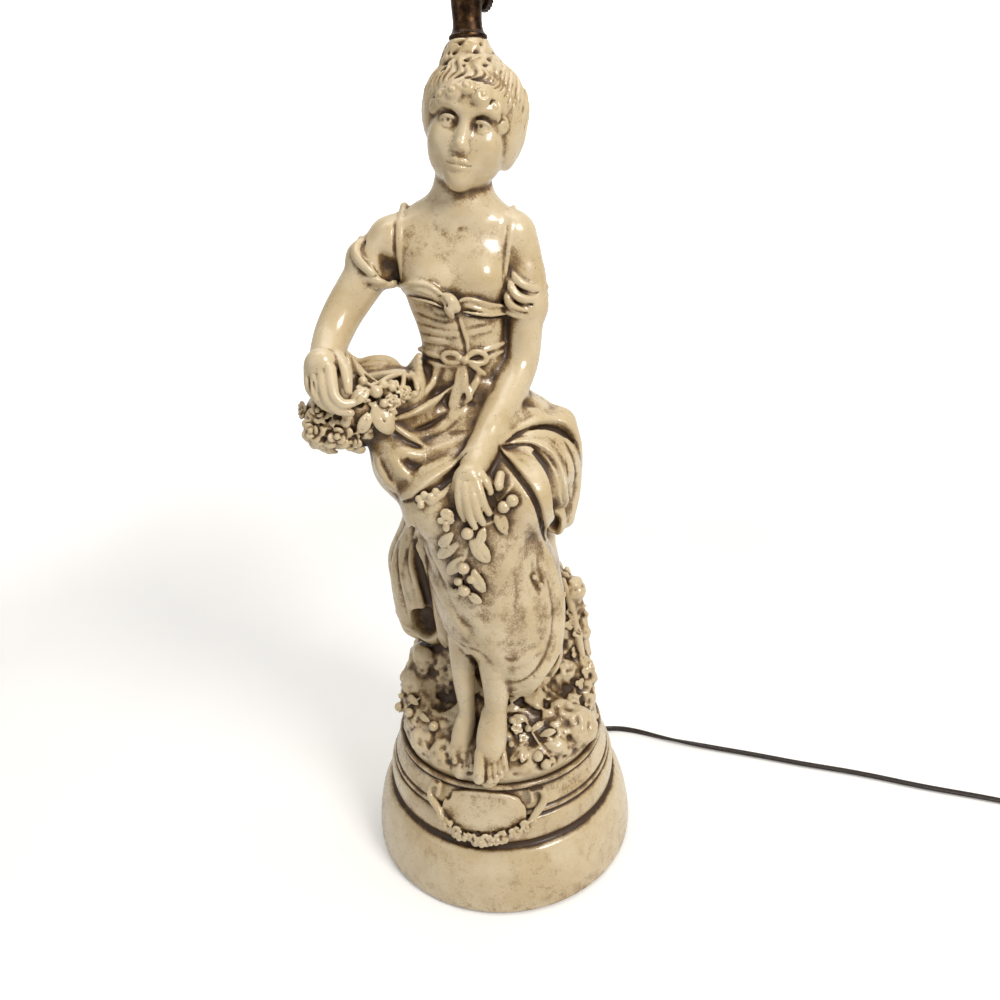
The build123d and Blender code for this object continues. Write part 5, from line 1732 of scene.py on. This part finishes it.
def fine_block(name, low, high, step, shared, behind=None):
    """One piece of glazed clay. shared tells which sides are cut planes: x0, x1, y0, y1, z0,
    z1. behind is the form that a piece lies on, for its hollows only; a piece without one
    belongs to the figure and ends flat at its underside and seat."""
    clay = worked_clay(np.array(low) - block_pad, np.array(high) + block_pad, step)
    uncut = clay.f.copy()
    axes = [clay.low[i] + step * np.arange(clay.size[i]) for i in range(3)]
    cuts = [(axis, bound, sign) for axis, letter in enumerate("xyz")
            for bound, end, sign in ((low[axis], "0", -1), (high[axis], "1", 1))
            if letter + end in shared]
    for axis, bound, sign in cuts:
        meet(clay.f, axes[axis], axis, bound, sign)
    x, y, z = axes[0][:, None, None], axes[1][None, :, None], axes[2][None, None, :]
    if behind is None:
        for past in (deck_z - z, z - seat_z, left_end - x):
            np.maximum(clay.f, past.astype(np.float32), out=clay.f)
    else:
        uncut = np.minimum(uncut, behind(x, y, z))
    grid = openvdb.FloatGrid(background=REACH)
    grid.copyFromArray(clay.f, tolerance=0.0)
    grid_places, quads = grid.convertToQuads(isovalue=0.0)
    places = clay.low + grid_places.astype(float) * step
    faces = quads[:, ::-1].tolist()
    for axis, bound, sign in cuts:
        faces = plain_cap(places, faces, axis, bound + sign * overlap, step)
    places, faces = used_only(places, faces)
    obj = add_mesh(name, places, faces, glaze)
    obj.data.polygons.foreach_set("use_smooth", [len(face) < 5 for face in faces])
    # How deep in a hollow each place lies, at three scales, for the brown wash: how much of
    # the room round it is clay, against the half that a flat surface has.
    clay.f = uncut
    n = clay.outward(places, step)
    share = clay.solidity()
    here, corner = step, clay.low.copy()
    for label, spread in (("fine", 1.3), ("middle", 2.8), ("wide", 5.5)):
        while spread / here > 2.6:
            share = halved(share)
            corner += here / 2
            here *= 2
        share = blurred(share, max(1, round((spread / here) ** 2)))
        room = Clay(corner, corner, here)
        room.size, room.f = np.array(share.shape), share
        set_layer(obj, "hollow_" + label, (room.at(places + n * 0.25 * spread) - 0.5) * 3.2 + 0.30)
    # Old wash, with painted shade under things and in the heap of flowers.
    set_layer(obj, "stain_and_shade", stained_and_shaded(places, n))
    set_layer(obj, "hollow_deep", sky.at(places + n * 2.0))
    return obj


blocks = [
    ("rock_front", (-130, -110, 100), (120, -6, 200), 1.0, "y1 z1"),
    ("rock_back", (-130, -6, 100), (120, 100, 200), 1.5, "y0 z1"),
    ("skirt_front", (-130, -120, 200), (120, -8, 352), 1.0, "y1 z0 z1"),
    ("skirt_back", (-130, -8, 200), (120, 100, 352), 1.5, "y0 z0 z1"),
    ("apron_side", (-140, -110, 352), (-42, 90, 470), 0.9, "x1 z0 z1"),
    ("waist_side", (-42, -120, 352), (120, 90, 470), 0.95, "x0 z0 z1"),
    ("shoulders", (-140, -110, 470), (120, 90, 534), 0.95, "z0 z1"),
    ("head", (-60, -60, 534), (60, 60, 624), 0.72, "z0"),
]
for name, low, high, step, shared in blocks:
    piece = fine_block(name, low, high, step, shared)
    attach(piece, "lamp")
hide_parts("figure_casting")


# ================================================================ plinth
# (height, radius, how hollow it is), from the foot to the deck.
plinth_profile = [
    (1.5, 111.0, 0.25), (2.0, 112.1, 0.1), (3.2, 112.9, 0), (8, 113, -0.02), (18, 112.4, -0.02),
    (30, 110.4, -0.02), (38, 108.6, -0.02), (44, 106.4, -0.03), (48, 104.5, -0.05),
    (50.6, 103.3, -0.12), (52.3, 101.9, -0.16), (53.2, 100.6, 0.1), (53.6, 99.2, 0.35),
    (54.2, 97.8, 0.6), (55.6, 96.5, 0.75), (57.0, 96.2, 0.75), (58.0, 96.4, 0.55), (58.8, 96.9, 0.3),
    (60.0, 97.4, 0.15), (62.5, 97.7, -0.03), (66, 97.9, -0.05), (70, 97.8, -0.05), (73.6, 97.2, -0.05),
    (76.2, 96.3, -0.1), (77.6, 95.2, 0), (78.2, 94.2, 0.45), (79.0, 93.6, 0.8), (80.0, 93.7, 0.45),
    (81.0, 94.2, -0.05), (82.2, 93.9, -0.08), (83.2, 93.0, 0.3), (83.9, 92.2, 0.75),
    (84.8, 92.1, 0.45), (85.8, 92.3, -0.02), (87.0, 91.9, -0.05), (89.0, 90.9, 0), (92, 89.6, 0),
    (96, 88.2, 0.02), (98.8, 87.2, 0.15), (99.9, 86.5, 0.7), (100.6, 86.3, 0.85), (101.1, 86.9, 0.3),
    (101.9, 87.6, -0.1), (103.0, 87.8, -0.12), (104.0, 87.3, -0.05), (104.8, 86.2, 0.1),
    (105.0, 84.9, 0.6), (104.6, 83.4, 0.9), (104.2, 81.5, 0.9), (104.0, 60, 0.9), (104.0, 7, 0.9),
]
sides = 264
bottom_z, bore_r, foot_r = 1.5, 7, 108.0
wobble_scale, wobble_deep = 45.0, 0.25
rows = np.vstack([[(bottom_z, bore_r, 0.5), (bottom_z, foot_r, 0.5)],
                  smooth_path(plinth_profile[:-2], 3), plinth_profile[-2:]])
angles = 2 * math.pi * np.arange(sides) / sides
points = np.array([(r * math.cos(a), r * math.sin(a), z) for z, r, _ in rows for a in angles])
radial = np.hypot(points[:, 0], points[:, 1])
wobble = lumps(points[:, 0], points[:, 1], points[:, 2], wobble_scale) * wobble_deep
wobble = wobble * np.clip((radial - 60) / 20, 0, 1)
points[:, :2] *= (1 + wobble / np.maximum(radial, 1))[:, None]
# Each row joins the next one, and the last one the first, inside the bore.
i, j = np.meshgrid(np.arange(len(rows)), np.arange(sides), indexing="ij")
j_next, i_next = (j + 1) % sides, (i + 1) % len(rows)
faces = np.stack([i * sides + j, i * sides + j_next, i_next * sides + j_next, i_next * sides + j], -1)
plinth = add_mesh("plinth", points, faces.reshape(-1, 4), glaze)
smear = lumps(points[:, 0], points[:, 1], 2 * points[:, 2], 16.0, 0.4)
way_up = np.concatenate([[0], np.cumsum(np.hypot(np.diff(rows[:, 0]), np.diff(rows[:, 1])))])
for label, spread in (("fine", 0.6), ("middle", 1.6), ("wide", 8.0)):
    near = np.exp(-((way_up[:, None] - way_up[None, :]) / spread) ** 2)
    near *= np.gradient(way_up)[None, :]
    row_hollow = (near * rows[:, 2]).sum(1) / near.sum(1)
    set_layer(plinth, "hollow_" + label, np.repeat(row_hollow, sides) * (0.85 + 0.30 * smear) - 0.10)
set_layer(plinth, "hollow_deep", np.where(np.repeat(rows[:, 2], sides) > 0.3, 0.58, 0.42))
set_layer(plinth, "stain_and_shade", np.full(len(points), 0.35))
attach(plinth, "lamp")
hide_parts("plinth_casting")

# Bare plaque on the drum, with scroll handles and a swag of flowers under it
drum_r = 97.8
clay_steps.clear()


def face_r(z):
    """The radius of the plaque's ground, which leans in above the drum."""
    return np.interp(z, (50, 72, 78, 86, 98), (97.8, 97.6, 96.6, 94.0, 89.5))


def on_drum(px, py, lift=0.0):
    """The place where the camera sees a point of the picture on the drum."""
    way = ray_way(px, py)
    a = way[0] ** 2 + way[1] ** 2
    b = camera_place[0] * way[0] + camera_place[1] * way[1]
    z = 70.0
    for _ in range(4):
        c = camera_place[0] ** 2 + camera_place[1] ** 2 - (face_r(z) + lift) ** 2
        place = camera_place + way * (-b - math.sqrt(b * b - a * c)) / a
        z = place[2]
    return place


def drum_rope(points, radii, lift, k=0.8):
    rope([on_drum(x, y, lift) for x, y in points], radii, k, per_span=4)


plaque_left, plaque_right, plaque_top, plaque_foot = [
    on_drum(*p, 2.0) for p in ((442, 806), (526, 808), (483, 793), (483, 836))]
plaque_turn = [math.atan2(p[0], -p[1]) for p in (plaque_left, plaque_right)]
half_wide = (plaque_turn[1] - plaque_turn[0]) / 2 * drum_r
half_tall = (plaque_top[2] - plaque_foot[2]) / 2
plaque_corner, plaque_back, plaque_deep, plaque_bow = 7.0, 4.2, 6.0, 0.008


def plaque_shape(x, y, z):
    """A plate with round corners and edges, bent round the drum."""
    across = (np.arctan2(x, -y) - sum(plaque_turn) / 2) * drum_r
    up = z - (plaque_top[2] + plaque_foot[2]) / 2
    out = np.hypot(x, y) - face_r(z) + plaque_back
    qx = np.abs(across) - half_wide + plaque_corner
    qz = np.abs(up) - half_tall + plaque_corner + plaque_bow * across ** 2
    inside = np.minimum(np.maximum(qx, qz), 0) - plaque_corner
    flat = np.hypot(np.maximum(qx, 0), np.maximum(qz, 0)) + inside
    deep_by = np.abs(out) - plaque_deep
    return np.hypot(np.maximum(flat + 1, 0), np.maximum(deep_by + 1, 0)) + np.minimum(
        np.maximum(flat, deep_by) + 1, 0) - 1


plaque_low, plaque_high = np.array((-52, -104, 40.0)), np.array((42, -84, 96.0))
keep_step("add", (plaque_low, plaque_high), plaque_shape)
for line in ([(443, 817), (438, 808), (432.5, 800), (429.5, 792), (431, 785), (436, 782.5),
              (440, 786.5), (438, 794)],
             [(531, 821), (536, 813), (542, 805), (544.5, 796), (541.5, 789.5), (535.5, 788),
              (530.5, 792), (532, 800)]):
    drum_rope(line, [2.4, 2.8, 3.0, 3.0, 2.8, 2.7, 2.5, 2.3], 3.0, k=1.6)
for x, y in ((446.5, 792), (525.5, 797)):
    egg(on_drum(x, y, 2.0), (4.4, 5.0, 7.0), k=0.8, kind="cut")
swag = [(440, 816), (446, 822), (458, 832), (473, 839), (488, 839.5), (501, 837), (515, 831),
        (525, 826), (532, 820)]
drum_rope(swag, 2.4, 1.6)
path = smooth_path([on_drum(x, y, 3.0) for x, y in swag], 4)
for i, place in enumerate(path[2:-2]):
    side, up, out = basis(place * (1, 1, 0))
    spin = 2.4 * i
    if i % 5 == 2:
        blossom_at(place + out * 0.8, out, 6.0, 5, spin)
    elif i % 2:
        ball(place + (side * math.cos(spin) + up * math.sin(spin)) * 3.2 + out * 0.6, 2.5, k=0.4)
    else:
        for turn in (0.0, 2.2):
            way = side * math.cos(spin + turn) + up * math.sin(spin + turn)
            petal(place + way * 3.0, out, way, 5.2, 20)
for x, y in ((450, 824.5), (463, 832), (478, 834), (494, 834), (508, 831), (519, 826)):
    ball(on_drum(x, y, 3.0), 2.2, k=0.6, kind="cut")


def drum_form(x, y, z):
    """The plinth round the plaque."""
    upright = plinth_profile[7:-9]
    return np.hypot(x, y) - np.interp(z, [p[0] for p in upright], [p[1] for p in upright])


# Wash lies on the plinth round the plaque too.
outline = worked_clay(plaque_low - block_pad, plaque_high + block_pad, 1.4)
beside = 1 - soft_edge(outline.at(points), 0.2, 3.4)
beside *= ((points > plaque_low - 6) & (points < plaque_high + 6)).all(axis=1)
shade = np.empty(len(points), np.float32)
layer = plinth.data.attributes["hollow_middle"].data
layer.foreach_get("value", shade)
layer.foreach_set("value", (shade + 0.6 * beside).astype(np.float32))
plaque = fine_block("plaque", plaque_low, plaque_high, 0.8, "", behind=drum_form)
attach(plaque, "lamp")
